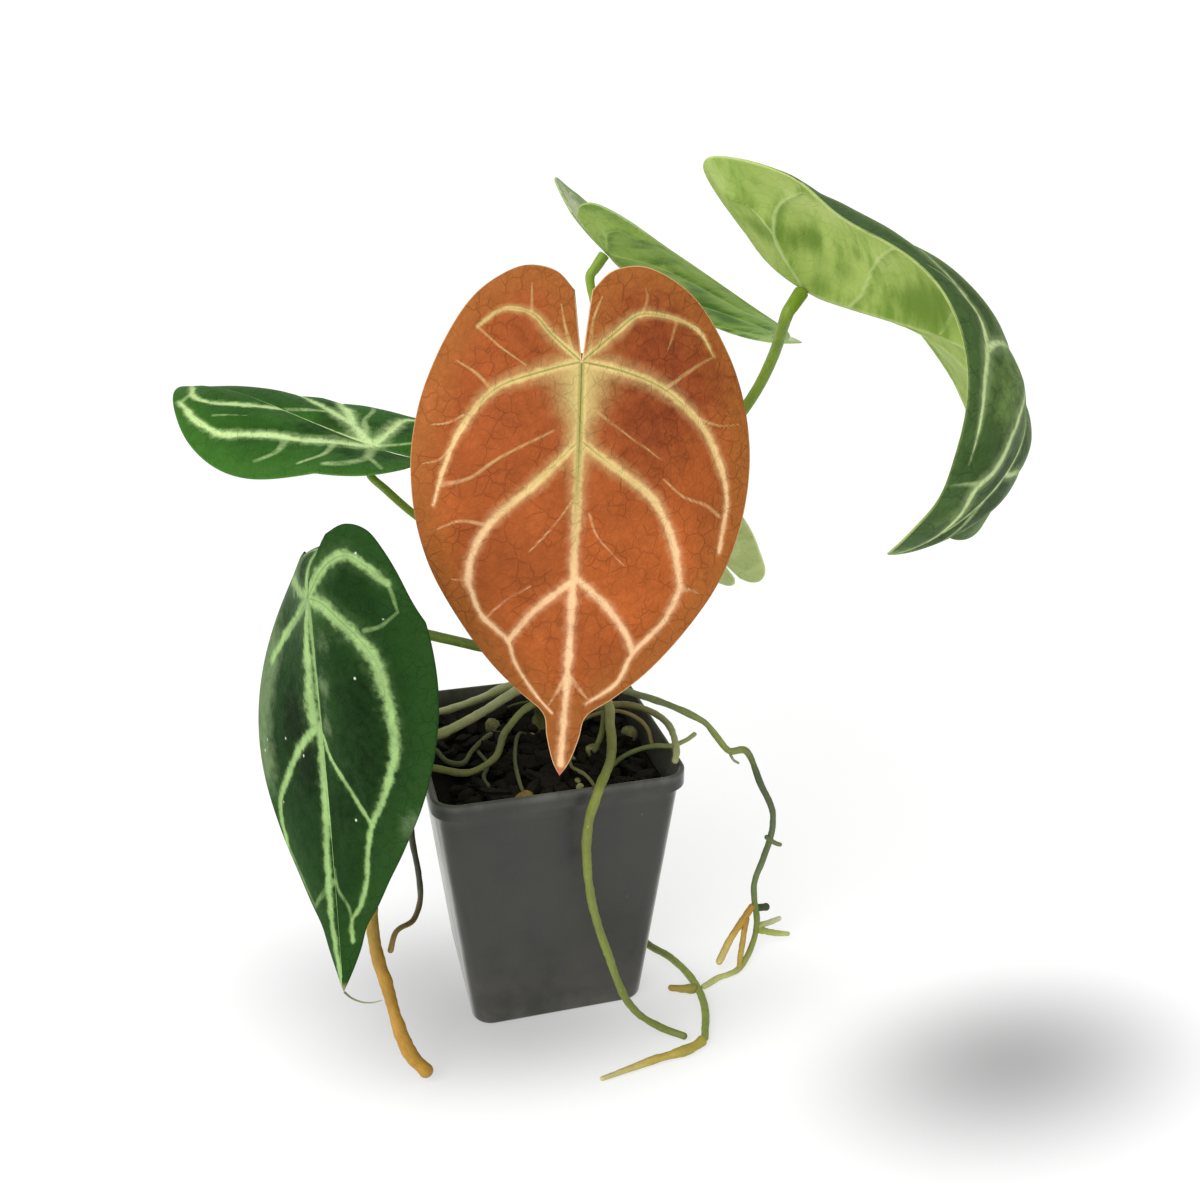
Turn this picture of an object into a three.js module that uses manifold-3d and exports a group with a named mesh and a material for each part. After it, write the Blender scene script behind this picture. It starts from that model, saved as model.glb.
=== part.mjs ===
// Potted anthurium with heart-shaped, pale-veined leaves and loose aerial roots.
// It stands in a small square nursery pot filled with bark mix.
// Millimetres, +Z up. The origin is the centre of the pot's underside, and -Y is the front.
import * as THREE from 'three';
import { mergeVertices } from 'three/addons/utils/BufferGeometryUtils.js';
import Module from 'manifold-3d';

const wasm = await Module();
wasm.setup();

// Driving dimensions of the pot
const POT_HEIGHT = 80;
const POT_BASE_HALF = 25.5;
const POT_RIM_HALF = 35;
const POT_WALL = 1.2;
const LIP_HEIGHT = 5.5;
const LIP_STEP = 1.7;
const BASE_CORNER_RADIUS = 6;
const RIM_CORNER_RADIUS = 7.5;
const CORNER_STEPS = 4;
const FOOT_CHAMFER = 1.2;
const DRAIN_RADIUS = 3.5;
const DRAIN_OFFSET = 15;
const DRAIN_SIDES = 12;

// Potting mix
const CLEARANCE = 0.35;
const MIX_TOP = 72.5;
const CHIP_COUNT = 40;
const CHIP_FIELD_HALF = 27;
const CHIP_SEED = 71;
const CHIP_LENGTHS = [6, 12];
const CHIP_WIDTHS = [3.5, 6];
const CHIP_DEPTHS = [2, 3.5];
const CHIP_LIFTS = [-0.6, 1.6];
const CHIP_ROLL = 0.5;
const CHIP_PITCH = 0.4;
const LUMP_RADIUS = 2.6;
const LUMP_PLACES = [[6.5, -9], [15, -4.5], [-10, 18], [28.5, 3], [-9.5, -27]];

// Leaves
const BLADE_THICKNESS = 0.8;
const BLADE_ROWS = 21;
const BLADE_COLUMNS = [0, 0.12, 0.42, 0.72, 0.86, 1];
const COLLECTIVE_VEIN_COLUMN = 3;
const ROW_SLANT = 0.75;
const LATERAL_VEIN_STARTS = [0.17, 0.34, 0.5, 0.66, 0.8];
const LOBE_VEIN_REACHES = [0.07, -0.148];
const QUILT_RISE = 0.55;
const MIDRIB_DEPTH = 0.8;
const MIDRIB_TAPER = 0.7;
const VEIN_DEPTH = 0.4;
const LOBE_REACH = 0.25;
const HALF_WIDTH_SHARE = 0.41;
const FRAME_STEPS = 64;
const LOBE_STEPS = 12;
const TWIST_POWER = 1.5;
const OUTLINE_DIVISIONS = 400;

// Half outline of a blade, from the tip round to the inner corner of the basal lobe.
// Each point is the distance along the midrib and out from it, in blade lengths. A third value is
// what a leaf with a full tip adds to the distance out.
const HALF_OUTLINE = [
  [1, 0], [0.965, 0.02, 0.002], [0.9, 0.04, 0.02], [0.845, 0.052, 0.036], [0.795, 0.115, 0.02], [0.73, 0.19],
  [0.63, 0.275], [0.5, 0.357], [0.36, 0.402], [0.21, 0.412], [0.07, 0.385], [-0.06, 0.328],
  [-0.148, 0.268], [-0.197, 0.206], [-0.224, 0.135], [-0.21, 0.065], [-0.165, 0.02],
];

// Each leaf: seat is where the petiole meets the blade. heading and pitch aim the midrib there,
// roll turns the blade about it, droop, sweep and twist bend it on the way to the tip. fold is the
// angle of each half and curl is its turn towards the margin, at the base, half way and the tip.
// lobeBend raises the right and the left basal lobe, or lowers it where negative. lobeFold and
// lobeCurl are added to the fold and curl of the right lobe, more and more towards its end. tipFill
// broadens the tip.
const LEAVES = {
  front: {
    seat: [7.5, -24.8, 191], length: 103, width: 0.99,
    heading: 250, pitch: -74, roll: -3, droop: 9, droopPower: 1.5, sweep: 4, twist: 0,
    foldRight: [-1, -2, -3], foldLeft: [1, -5, -3], curlRight: [-14, -10, -10], curlLeft: [-12, -10, -10],
    lobeBend: [-9, -9], lobeFold: 0, lobeCurl: 0, tipFill: 0, color: 0xb45f2e,
  },
  low: {
    seat: [-60.8, -23, 136.8], length: 101, width: 0.96,
    heading: 244.3, pitch: -89.9, roll: 43, droop: -19.6, droopPower: 1.5, sweep: -28.6, twist: -24.6,
    foldRight: [-13.3, 1, -19.9], foldLeft: [-9.5, 2.5, -27.1],
    curlRight: [-20.8, -7.6, -43.9], curlLeft: [-39.8, -22.5, 48.4],
    lobeBend: [-118, -41.6], lobeFold: 0, lobeCurl: 0, tipFill: 1, color: 0x2c4a28,
  },
  left: {
    seat: [-40, 15.9, 163.1], length: 80.2, width: 0.926,
    heading: 141.8, pitch: 13, roll: -2.4, droop: 49.6, droopPower: 3.78, sweep: 19.3, twist: 15,
    foldRight: [15.3, 7, -6.8], foldLeft: [7.5, 3.3, 5.2],
    curlRight: [-35, -35.4, -31.9], curlLeft: [-12.9, -52.8, -17.1],
    lobeBend: [3, 16.7], lobeFold: 0, lobeCurl: 0, tipFill: 0, color: 0x4c8036,
  },
  back: {
    seat: [30.7, 38.4, 209.3], length: 96, width: 0.88,
    heading: 24.6, pitch: -34, roll: 12.7, droop: -28, droopPower: 1.5, sweep: -8, twist: 6,
    foldRight: [19, 21, 30], foldLeft: [25, 22, 30], curlRight: [-9, -4, 5], curlLeft: [-8, -4, 5],
    lobeBend: [17, 17], lobeFold: 0, lobeCurl: 0, tipFill: 0.5, color: 0x46753a,
  },
  high: {
    seat: [68.5, -13.8, 204.3], length: 129.3, width: 1.061,
    heading: -44.1, pitch: -15.9, roll: -50.7, droop: 180, droopPower: 2.25, sweep: 63.3, twist: 47.3,
    foldRight: [9.9, 23.5, 64], foldLeft: [66, -7.8, -56.3],
    curlRight: [-48.2, -59.9, -60.4], curlLeft: [-13.2, -90.8, -323],
    lobeBend: [71, 93], lobeFold: -72, lobeCurl: 166, tipFill: 1, color: 0x5d8a40,
  },
  small: {
    seat: [51.5, -6.5, 130.5], length: 50, width: 0.85,
    heading: 180, pitch: 50, roll: 37, droop: 25, droopPower: 1.5, sweep: 0, twist: 0,
    foldRight: [6, 5, 5], foldLeft: [4, 5, 5], curlRight: [5, 5, 5], curlLeft: [-13, 5, 5],
    lobeBend: [1, 1], lobeFold: 0, lobeCurl: 0, tipFill: 0, color: 0x8fae4e,
  },
};

// Short upright stem that carries the petioles and the roots
const STEM_PATH = [[6, 16, 62], [7, 15, 78], [9, 12, 94], [10, 10, 106]];
const STEM_RADIUS = 5.5;
const STEM_TAPER = 0.2;
const STEM_RING = 0.5;
const STEM_RING_COUNT = 5;
const STEM_SIDES = 10;
const STEM_STEPS = 14;

// Petioles: radius, and the points before the last bend, from inside the stem outwards
const GENICULUM_SWELL = 1.3;
const GENICULUM_SHARE = 0.1;
const PETIOLE_SIDES = 7;
const PETIOLE_STEPS = 18;
const PETIOLE_APPROACH = [8, 5.5, 3.4];
const PETIOLE_GAP = 0.4;
const PETIOLE_CROWDING = 1.7;
const PETIOLES = {
  front: { radius: 1.7, path: [[10, 8, 99], [12, 3, 122], [13, -1, 150], [11, -7, 176]] },
  low: { radius: 1.4,
    path: [[6, 11.5, 91], [-4, 7, 101], [-17.7, 1, 109], [-30.3, -5, 116], [-46, -13, 125]]
  },
  left: { radius: 1.1,
    path: [[7.5, 14.5, 97], [-4, 14, 114], [-19, 12, 134], [-31.7, 11, 146], [-37.5, 12, 152]]
  },
  back: { radius: 1.25, path: [[10.5, 13.5, 102], [15, 21, 130], [22, 30, 165], [27, 36, 192]] },
  high: { radius: 1.5,
    path: [[12.5, 11, 101], [27, 14, 121], [46, 9, 149], [60, -2, 173.4], [63.5, -8, 186]]
  },
  small: { radius: 1.2, path: [[12.5, 9.5, 93], [22, 5, 99], [37, 0, 110], [46, -3, 121]] },
};

// Every tube's first and last ring, as a share of its radius there
const END_RING_SHARE = 0.6;
// Direction that a tube's first ring starts square to, along no tube's own start
const RING_START = [0.36, 0.48, 0.8];

// Roots: a list of points from inside the stem or the mix to the tip, with a radius at each end
const ROOT_SIDES = 6;
const BRANCH_STEPS = 4;
const ROOTS = {
  root_front: {
    radii: [1.5, 1], steps: 28, color: 0x74783e,
    path: [[11.5, 9, 86], [19, 4, 88.3], [20.6, -3, 87], [19.5, -8, 84], [18, -15, 82], [14.8, -25, 81.4],
      [11.2, -33, 82.3], [7.8, -38.7, 81], [5, -39.5, 72.8], [4.3, -40, 63], [5, -40, 52], [7, -40, 41.5],
      [10, -40.5, 30.5], [13, -41, 20], [16.5, -41.5, 12], [21, -42, 6.5], [27, -42.8, 2.2],
      [32, -46.3, 1.4]],
  },
  root_right: {
    radii: [1.05, 0.9], steps: 30, color: 0x7a8244,
    path: [[11.5, 12.5, 89], [20, 12, 88], [29.4, 9, 85], [38.6, 3, 83], [45, -1, 80.7], [50, -4, 78],
      [53, -7, 74], [56, -9, 70.5], [60.5, -10, 70.6], [65, -12, 60], [68.8, -13, 51], [69.3, -13, 43.5],
      [67, -13, 34], [64.6, -13, 26], [64.8, -13, 19], [66, -13, 11.5], [65, -14, 5.5], [60.7, -18.5, 2],
      [56, -22.4, 1.2], [49.4, -24.2, 1.2], [44.6, -26.5, 1.2]],
    branches: [
      { radii: [1, 0.7], path: [[67, -13.2, 42], [70, -14, 39.5], [72, -15, 39]] },
      { radii: [1, 1.3], path: [[65, -13, 16], [68, -12, 15], [70.5, -11.5, 14.5]] },
      { radii: [1.3, 0.7], path: [[66, -13, 8], [72, -12.5, 5], [78, -12, 3]] },
      { radii: [1.1, 0.7], path: [[65.5, -13, 9], [71, -11, 8], [76, -9, 7.5]] },
      { radii: [1, 1.2], path: [[64.6, -13, 17.5], [60, -15, 13], [56, -17, 9.5], [50.4, -21, 3.5]] },
      { radii: [1, 0.8], path: [[61.8, -14.5, 14.8], [60, -17, 8], [58, -20, 3], [57, -22, 1.4]] },
    ],
  },
  root_back: {
    radii: [1.2, 1.1], steps: 30, color: 0x7b8446,
    path: [[9, 16.5, 86], [11, 25, 86], [14, 35, 82.2], [17, 39.5, 74], [22, 38, 45], [28, 34, 18],
      [32, 25, 4], [32.3, 12, 1.5], [33.2, -2.2, 1.3], [38.4, -11.5, 1.3], [41.3, -21, 1.3],
      [41.8, -28, 1.3], [41.3, -34.6, 1.3], [38.8, -42.5, 1.3], [36.2, -49, 1.5]],
    branches: [
      { radii: [1.5, 0.9], path: [[41.6, -27.6, 1.7], [37.5, -26.6, 1.6], [33.3, -24.5, 1.3]] },
      { radii: [1.6, 0.6], path: [[36.5, -48.5, 1.7], [31, -51.3, 1.7], [21, -52.3, 1.4], [11.3, -54, 1.1],
        [3.9, -55.1, 0.8]] },
    ],
  },
  root_left_thick: {
    radii: [1.3, 1.9], steps: 26, color: 0x9a8340,
    path: [[5, 14, 89], [-2, 14, 87.4], [-15, 11.5, 82], [-27, 4, 81.2], [-34.8, -1.5, 82.6], [-42, -6, 77],
      [-48.5, -12, 58], [-51.8, -18, 38], [-51.6, -23, 30], [-49.8, -29, 23], [-48, -36, 15],
      [-45.6, -40.5, 8.5], [-40.7, -43.2, 2.2]],
  },
  root_left_thin: {
    radii: [1.1, 0.8], steps: 26, color: 0x5c6238,
    path: [[4.5, 12, 84], [-2, 9.5, 82.6], [-8.7, 3.6, 79.5], [-14.8, -11, 79.3], [-23.6, -17.5, 79.6],
      [-31.5, -16, 81.3], [-36.8, -12, 80.8], [-38.8, -7, 68], [-38.2, -4, 53.4], [-37.2, -6, 41.6],
      [-37.4, -8, 34], [-40, -12, 30.8], [-45.6, -17.6, 31.8], [-48, -21.6, 28]],
  },
  root_surface_left: {
    radii: [1.5, 0.9], steps: 12, color: 0xa9b183,
    path: [[4.5, 17, 87], [-4, 18.5, 86.5], [-14, 21, 82], [-25, 20, 80],
      [-32.5, 17.5, 81.8], [-35.5, 15, 81.6]],
  },
  root_surface_rim: {
    radii: [1.15, 0.9], steps: 16, color: 0xa3ad74,
    path: [[10.5, 9.5, 80], [17, 10.5, 80], [27.5, 8.7, 81], [33.3, 1, 82.2], [35.8, -8.2, 83],
      [35, -19, 83.8], [33.2, -27, 83.2], [31.5, -30.5, 81.6]],
  },
  root_surface_right: {
    radii: [0.75, 0.65], steps: 12, color: 0x8f9a5e,
    path: [[14, -17.5, 71], [17.5, -17.2, 75.5], [23.5, -15, 77.8], [29.5, -16.8, 80], [33.8, -20.2, 81.3],
      [38.5, -19.2, 81.8], [42.3, -17, 82.4]],
  },
};

const COLORS = { pot: 0x3c3c3b, potting_mix: 0x2a241c, stem: 0x6d7a3c, petiole: 0x6f9a35 };
const ROUGHNESS = { pot: 0.55, potting_mix: 0.95, stem: 0.7, root: 0.7, petiole: 0.45, blade: 0.5 };
const TINY = 1e-6;

const degrees = THREE.MathUtils.degToRad;
const point = (values) => new THREE.Vector3(...values);

// Repeatable random numbers from 0 to 1
function seededRandom(seed) {
  let state = seed;
  return () => {
    state = (state + 0x6d2b79f5) | 0;
    let mixed = Math.imul(state ^ (state >>> 15), 1 | state);
    mixed = (mixed + Math.imul(mixed ^ (mixed >>> 7), 61 | mixed)) ^ mixed;
    return ((mixed ^ (mixed >>> 14)) >>> 0) / 4294967296;
  };
}

// Closed geometry from vertices and triangles
function meshFrom(vertices, triangles) {
  const geometry = new THREE.BufferGeometry();
  const positions = new Float32Array(vertices.flatMap((vertex) => [vertex.x, vertex.y, vertex.z]));
  geometry.setAttribute('position', new THREE.BufferAttribute(positions, 3));
  geometry.setIndex(triangles.flat());
  return geometry;
}

function toSolid(source) {
  const bare = source.clone();
  bare.deleteAttribute('normal');
  bare.deleteAttribute('uv');
  const geometry = mergeVertices(bare);
  const vertProperties = new Float32Array(geometry.getAttribute('position').array);
  const triVerts = new Uint32Array(geometry.getIndex().array);
  return new wasm.Manifold(new wasm.Mesh({ numProp: 3, vertProperties, triVerts }));
}

// Largest connected skin of a solid, which drops loose scraps and fills sealed hollows
function largestBody(solid) {
  return solid.decompose().reduce((largest, piece) => (piece.volume() > largest.volume() ? piece : largest));
}

function toGeometry(solid) {
  const mesh = largestBody(solid).getMesh();
  const geometry = new THREE.BufferGeometry();
  geometry.setAttribute('position', new THREE.BufferAttribute(new Float32Array(mesh.vertProperties), 3));
  geometry.setIndex(new THREE.BufferAttribute(new Uint32Array(mesh.triVerts), 1));
  return geometry;
}

// Ring of points on a square with rounded corners, counter-clockwise from above
function roundedSquare(half, radius, height) {
  const ring = [];
  for (let corner = 0; corner < 4; corner += 1) {
    const start = degrees(90 * corner);
    const centre = new THREE.Vector2(half - radius, half - radius).rotateAround(new THREE.Vector2(), start);
    for (let step = 0; step <= CORNER_STEPS; step += 1) {
      const angle = start + degrees((90 * step) / CORNER_STEPS);
      ring.push(new THREE.Vector3(
        centre.x + radius * Math.cos(angle), centre.y + radius * Math.sin(angle), height));
    }
  }
  return ring;
}

// Closed skin over rings of equal point counts, with a fan over the first and the last ring
function loft(rings) {
  const count = rings[0].length;
  const vertices = rings.flat();
  const triangles = [];
  for (let level = 0; level < rings.length - 1; level += 1) {
    for (let side = 0; side < count; side += 1) {
      const next = (side + 1) % count;
      const [a, b] = [level * count + side, level * count + next];
      const [c, d] = [a + count, b + count];
      triangles.push([a, b, d], [a, d, c]);
    }
  }
  const last = (rings.length - 1) * count;
  const middle = (ring) => ring
    .reduce((sum, vertex) => sum.add(vertex), new THREE.Vector3())
    .divideScalar(count);
  vertices.push(middle(rings[0]), middle(rings[rings.length - 1]));
  const [firstMiddle, lastMiddle] = [vertices.length - 2, vertices.length - 1];
  for (let side = 0; side < count; side += 1) {
    const next = (side + 1) % count;
    triangles.push([firstMiddle, next, side], [lastMiddle, last + side, last + next]);
  }
  return meshFrom(vertices, triangles);
}

// Tube along a smooth path. radiusAt gives the radius from 0 at the start to 1 at the end, both
// ends are rounded off by a narrower ring, and a crowding above 1 sets the rings closer together
// towards the end. room widens the tube and lengthens it at both ends by that much.
function tube(path, radiusAt, sides, steps, { room = 0, crowding = 1 } = {}) {
  const curve = new THREE.CatmullRomCurve3(path.map(point), false, 'centripetal');
  const rings = [];
  let tangent = curve.getTangentAt(0);
  const normal = point(RING_START).cross(tangent).normalize();
  for (let step = 0; step <= steps; step += 1) {
    const share = 1 - (1 - step / steps) ** crowding;
    const nextTangent = curve.getTangentAt(share);
    normal.applyQuaternion(new THREE.Quaternion().setFromUnitVectors(tangent, nextTangent));
    tangent = nextTangent;
    const binormal = tangent.clone().cross(normal);
    const centre = curve.getPointAt(share);
    if (step === 0) centre.addScaledVector(tangent, -room);
    if (step === steps) centre.addScaledVector(tangent, room);
    const endRing = step === 0 || step === steps;
    const radius = radiusAt(share) * (endRing ? END_RING_SHARE : 1) + room;
    rings.push(Array.from({ length: sides }, (_, side) => {
      const angle = (2 * Math.PI * side) / sides;
      return centre.clone()
        .addScaledVector(normal, radius * Math.cos(angle))
        .addScaledVector(binormal, radius * Math.sin(angle));
    }));
  }
  return loft(rings);
}

function makePot() {
  const wallTop = POT_HEIGHT - LIP_HEIGHT;
  const wallTopHalf = POT_RIM_HALF - LIP_STEP;
  const wallRadius = RIM_CORNER_RADIUS - LIP_STEP;
  const rings = [
    roundedSquare(POT_BASE_HALF - FOOT_CHAMFER, BASE_CORNER_RADIUS - FOOT_CHAMFER, 0),
    roundedSquare(POT_BASE_HALF, BASE_CORNER_RADIUS, FOOT_CHAMFER),
    roundedSquare(wallTopHalf, wallRadius, wallTop),
    roundedSquare(POT_RIM_HALF, RIM_CORNER_RADIUS, wallTop + LIP_STEP / 2),
    roundedSquare(POT_RIM_HALF, RIM_CORNER_RADIUS, POT_HEIGHT - LIP_STEP / 3),
    roundedSquare(POT_RIM_HALF - LIP_STEP / 3, RIM_CORNER_RADIUS - LIP_STEP / 3, POT_HEIGHT),
    roundedSquare(POT_RIM_HALF - POT_WALL, RIM_CORNER_RADIUS - POT_WALL, POT_HEIGHT),
    roundedSquare(wallTopHalf - POT_WALL, wallRadius - POT_WALL, wallTop),
    roundedSquare(POT_BASE_HALF - POT_WALL, BASE_CORNER_RADIUS - POT_WALL, POT_WALL + FOOT_CHAMFER / 2),
  ];
  let solid = toSolid(loft(rings));
  for (const [signX, signY] of [[1, 1], [-1, 1], [-1, -1], [1, -1]]) {
    const drain = new THREE.CylinderGeometry(DRAIN_RADIUS, DRAIN_RADIUS, 4 * POT_WALL, DRAIN_SIDES);
    drain.rotateX(Math.PI / 2);
    drain.translate(signX * DRAIN_OFFSET, signY * DRAIN_OFFSET, POT_WALL);
    solid = solid.subtract(toSolid(drain));
  }
  return toGeometry(solid);
}

// Bed of bark mix: a block that fills the pot, with chips and rounded lumps sunk in its top
function makePottingMix(standing) {
  const floor = POT_WALL + FOOT_CHAMFER / 2 + CLEARANCE;
  const wallTop = POT_HEIGHT - LIP_HEIGHT;
  const innerHalf = (height) => THREE.MathUtils.lerp(
    POT_BASE_HALF, POT_RIM_HALF - LIP_STEP, height / wallTop) - POT_WALL - 2 * CLEARANCE;
  const fillTo = (top) => toSolid(loft([floor, top].map(
    (height) => roundedSquare(innerHalf(height), BASE_CORNER_RADIUS - POT_WALL, height))));
  let solid = fillTo(MIX_TOP);
  const random = seededRandom(CHIP_SEED);
  const between = (low, high) => low + (high - low) * random();
  for (let chip = 0; chip < CHIP_COUNT; chip += 1) {
    const box = new THREE.BoxGeometry(
      between(...CHIP_LENGTHS), between(...CHIP_WIDTHS), between(...CHIP_DEPTHS));
    box.rotateX(between(-CHIP_ROLL, CHIP_ROLL));
    box.rotateY(between(-CHIP_PITCH, CHIP_PITCH));
    box.rotateZ(between(0, Math.PI));
    const x = between(-CHIP_FIELD_HALF, CHIP_FIELD_HALF);
    const y = between(-CHIP_FIELD_HALF, CHIP_FIELD_HALF);
    box.translate(x, y, MIX_TOP + between(...CHIP_LIFTS));
    solid = solid.add(toSolid(box));
  }
  for (const [x, y] of LUMP_PLACES) {
    const lump = new THREE.IcosahedronGeometry(LUMP_RADIUS, 0);
    lump.translate(x, y, MIX_TOP + LUMP_RADIUS / 2);
    solid = solid.add(toSolid(lump));
  }
  solid = solid.intersect(fillTo(POT_HEIGHT));
  return toGeometry(standing.reduce((rest, piece) => rest.subtract(piece), solid));
}

const stemRadius = (share) => STEM_RADIUS * (1 - STEM_TAPER * share)
  + STEM_RING * Math.sin(2 * Math.PI * STEM_RING_COUNT * share);

function makeStem(room = 0) {
  return tube(STEM_PATH, stemRadius, STEM_SIDES, STEM_STEPS, { room });
}

// Points evenly spaced along the smooth half outline
function outlinePoints(count, tipFill) {
  const curve = new THREE.CatmullRomCurve3(HALF_OUTLINE.map(
    ([along, out, fill = 0]) => new THREE.Vector3(along, out + tipFill * fill, 0)), false, 'centripetal');
  curve.arcLengthDivisions = OUTLINE_DIVISIONS;
  return curve.getSpacedPoints(count - 1);
}

// Parabola through the values at the base, half way and the tip
function threePoint([base, half, tip], share) {
  return base + (4 * half - 3 * base - tip) * share + (2 * base + 2 * tip - 4 * half) * share * share;
}

// Place and axes of the midrib: tangent, right and upper side, at steps from one lobe to the tip
function midribFrames(leaf, side) {
  const lobeBend = leaf.lobeBend[side > 0 ? 0 : 1];
  const [heading, pitch, roll] = [leaf.heading, leaf.pitch, leaf.roll].map(degrees);
  const tangent = new THREE.Vector3(
    Math.cos(pitch) * Math.cos(heading), Math.cos(pitch) * Math.sin(heading), Math.sin(pitch));
  const right = new THREE.Vector3(Math.sin(heading), -Math.cos(heading), 0);
  const upper = right.clone().cross(tangent);
  right.applyAxisAngle(tangent, roll);
  upper.applyAxisAngle(tangent, roll);
  const start = { along: 0, place: new THREE.Vector3(), tangent, right, upper };
  const turned = (frame, axis, angle, move) => {
    const next = {
      along: frame.along + move,
      place: frame.place.clone(),
      tangent: frame.tangent.clone(),
      right: frame.right.clone(),
      upper: frame.upper.clone(),
    };
    for (const vector of [next.tangent, next.right, next.upper]) {
      if (vector !== next[axis]) vector.applyAxisAngle(frame[axis], angle);
    }
    return next;
  };
  const towardsTip = [start];
  const step = leaf.length / (FRAME_STEPS - 1);
  for (let index = 1; index < FRAME_STEPS; index += 1) {
    const [before, after] = [(index - 1) / (FRAME_STEPS - 1), index / (FRAME_STEPS - 1)];
    const droop = degrees(leaf.droop) * (after ** leaf.droopPower - before ** leaf.droopPower);
    const twist = degrees(leaf.twist) * (after ** TWIST_POWER - before ** TWIST_POWER);
    let frame = turned(towardsTip[index - 1], 'right', -droop, step);
    frame = turned(frame, 'upper', -degrees(leaf.sweep) * (after - before), 0);
    frame = turned(frame, 'tangent', twist, 0);
    frame.place.addScaledVector(frame.tangent, step);
    towardsTip.push(frame);
  }
  const lobes = [];
  const lobeStep = (LOBE_REACH * leaf.length) / LOBE_STEPS;
  let frame = start;
  for (let index = 0; index < LOBE_STEPS; index += 1) {
    frame = turned(frame, 'right', -degrees(lobeBend) / LOBE_STEPS, -lobeStep);
    frame.place.addScaledVector(frame.tangent, -lobeStep);
    lobes.unshift(frame);
  }
  return [...lobes, ...towardsTip];
}

// Flat point of a half blade, along and out from the midrib, bent into space
function bentPoint(leaf, frames, along, out, side) {
  const passed = frames.filter((frame) => frame.along < along).length;
  const next = Math.min(Math.max(passed, 1), frames.length - 1);
  const [before, after] = [frames[next - 1], frames[next]];
  const mix = THREE.MathUtils.clamp((along - before.along) / (after.along - before.along), 0, 1);
  const blend = (key) => before[key].clone().lerp(after[key], mix);
  const share = THREE.MathUtils.clamp(along / leaf.length, 0, 1);
  const lobeShare = side > 0 ? THREE.MathUtils.clamp(-along / (LOBE_REACH * leaf.length), 0, 1) : 0;
  const foldHere = threePoint(side > 0 ? leaf.foldRight : leaf.foldLeft, share) + leaf.lobeFold * lobeShare;
  const curlHere = threePoint(side > 0 ? leaf.curlRight : leaf.curlLeft, share) + leaf.lobeCurl * lobeShare;
  const fold = degrees(foldHere);
  const turn = degrees(curlHere) / (leaf.length * leaf.width * HALF_WIDTH_SHARE);
  const bend = Math.abs(turn) < TINY ? TINY : turn;
  const across = (Math.sin(fold + bend * out) - Math.sin(fold)) / bend;
  const rise = -(Math.cos(fold + bend * out) - Math.cos(fold)) / bend;
  return blend('place')
    .addScaledVector(blend('right'), side * across)
    .addScaledVector(blend('upper'), rise)
    .add(point(leaf.seat));
}

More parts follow.
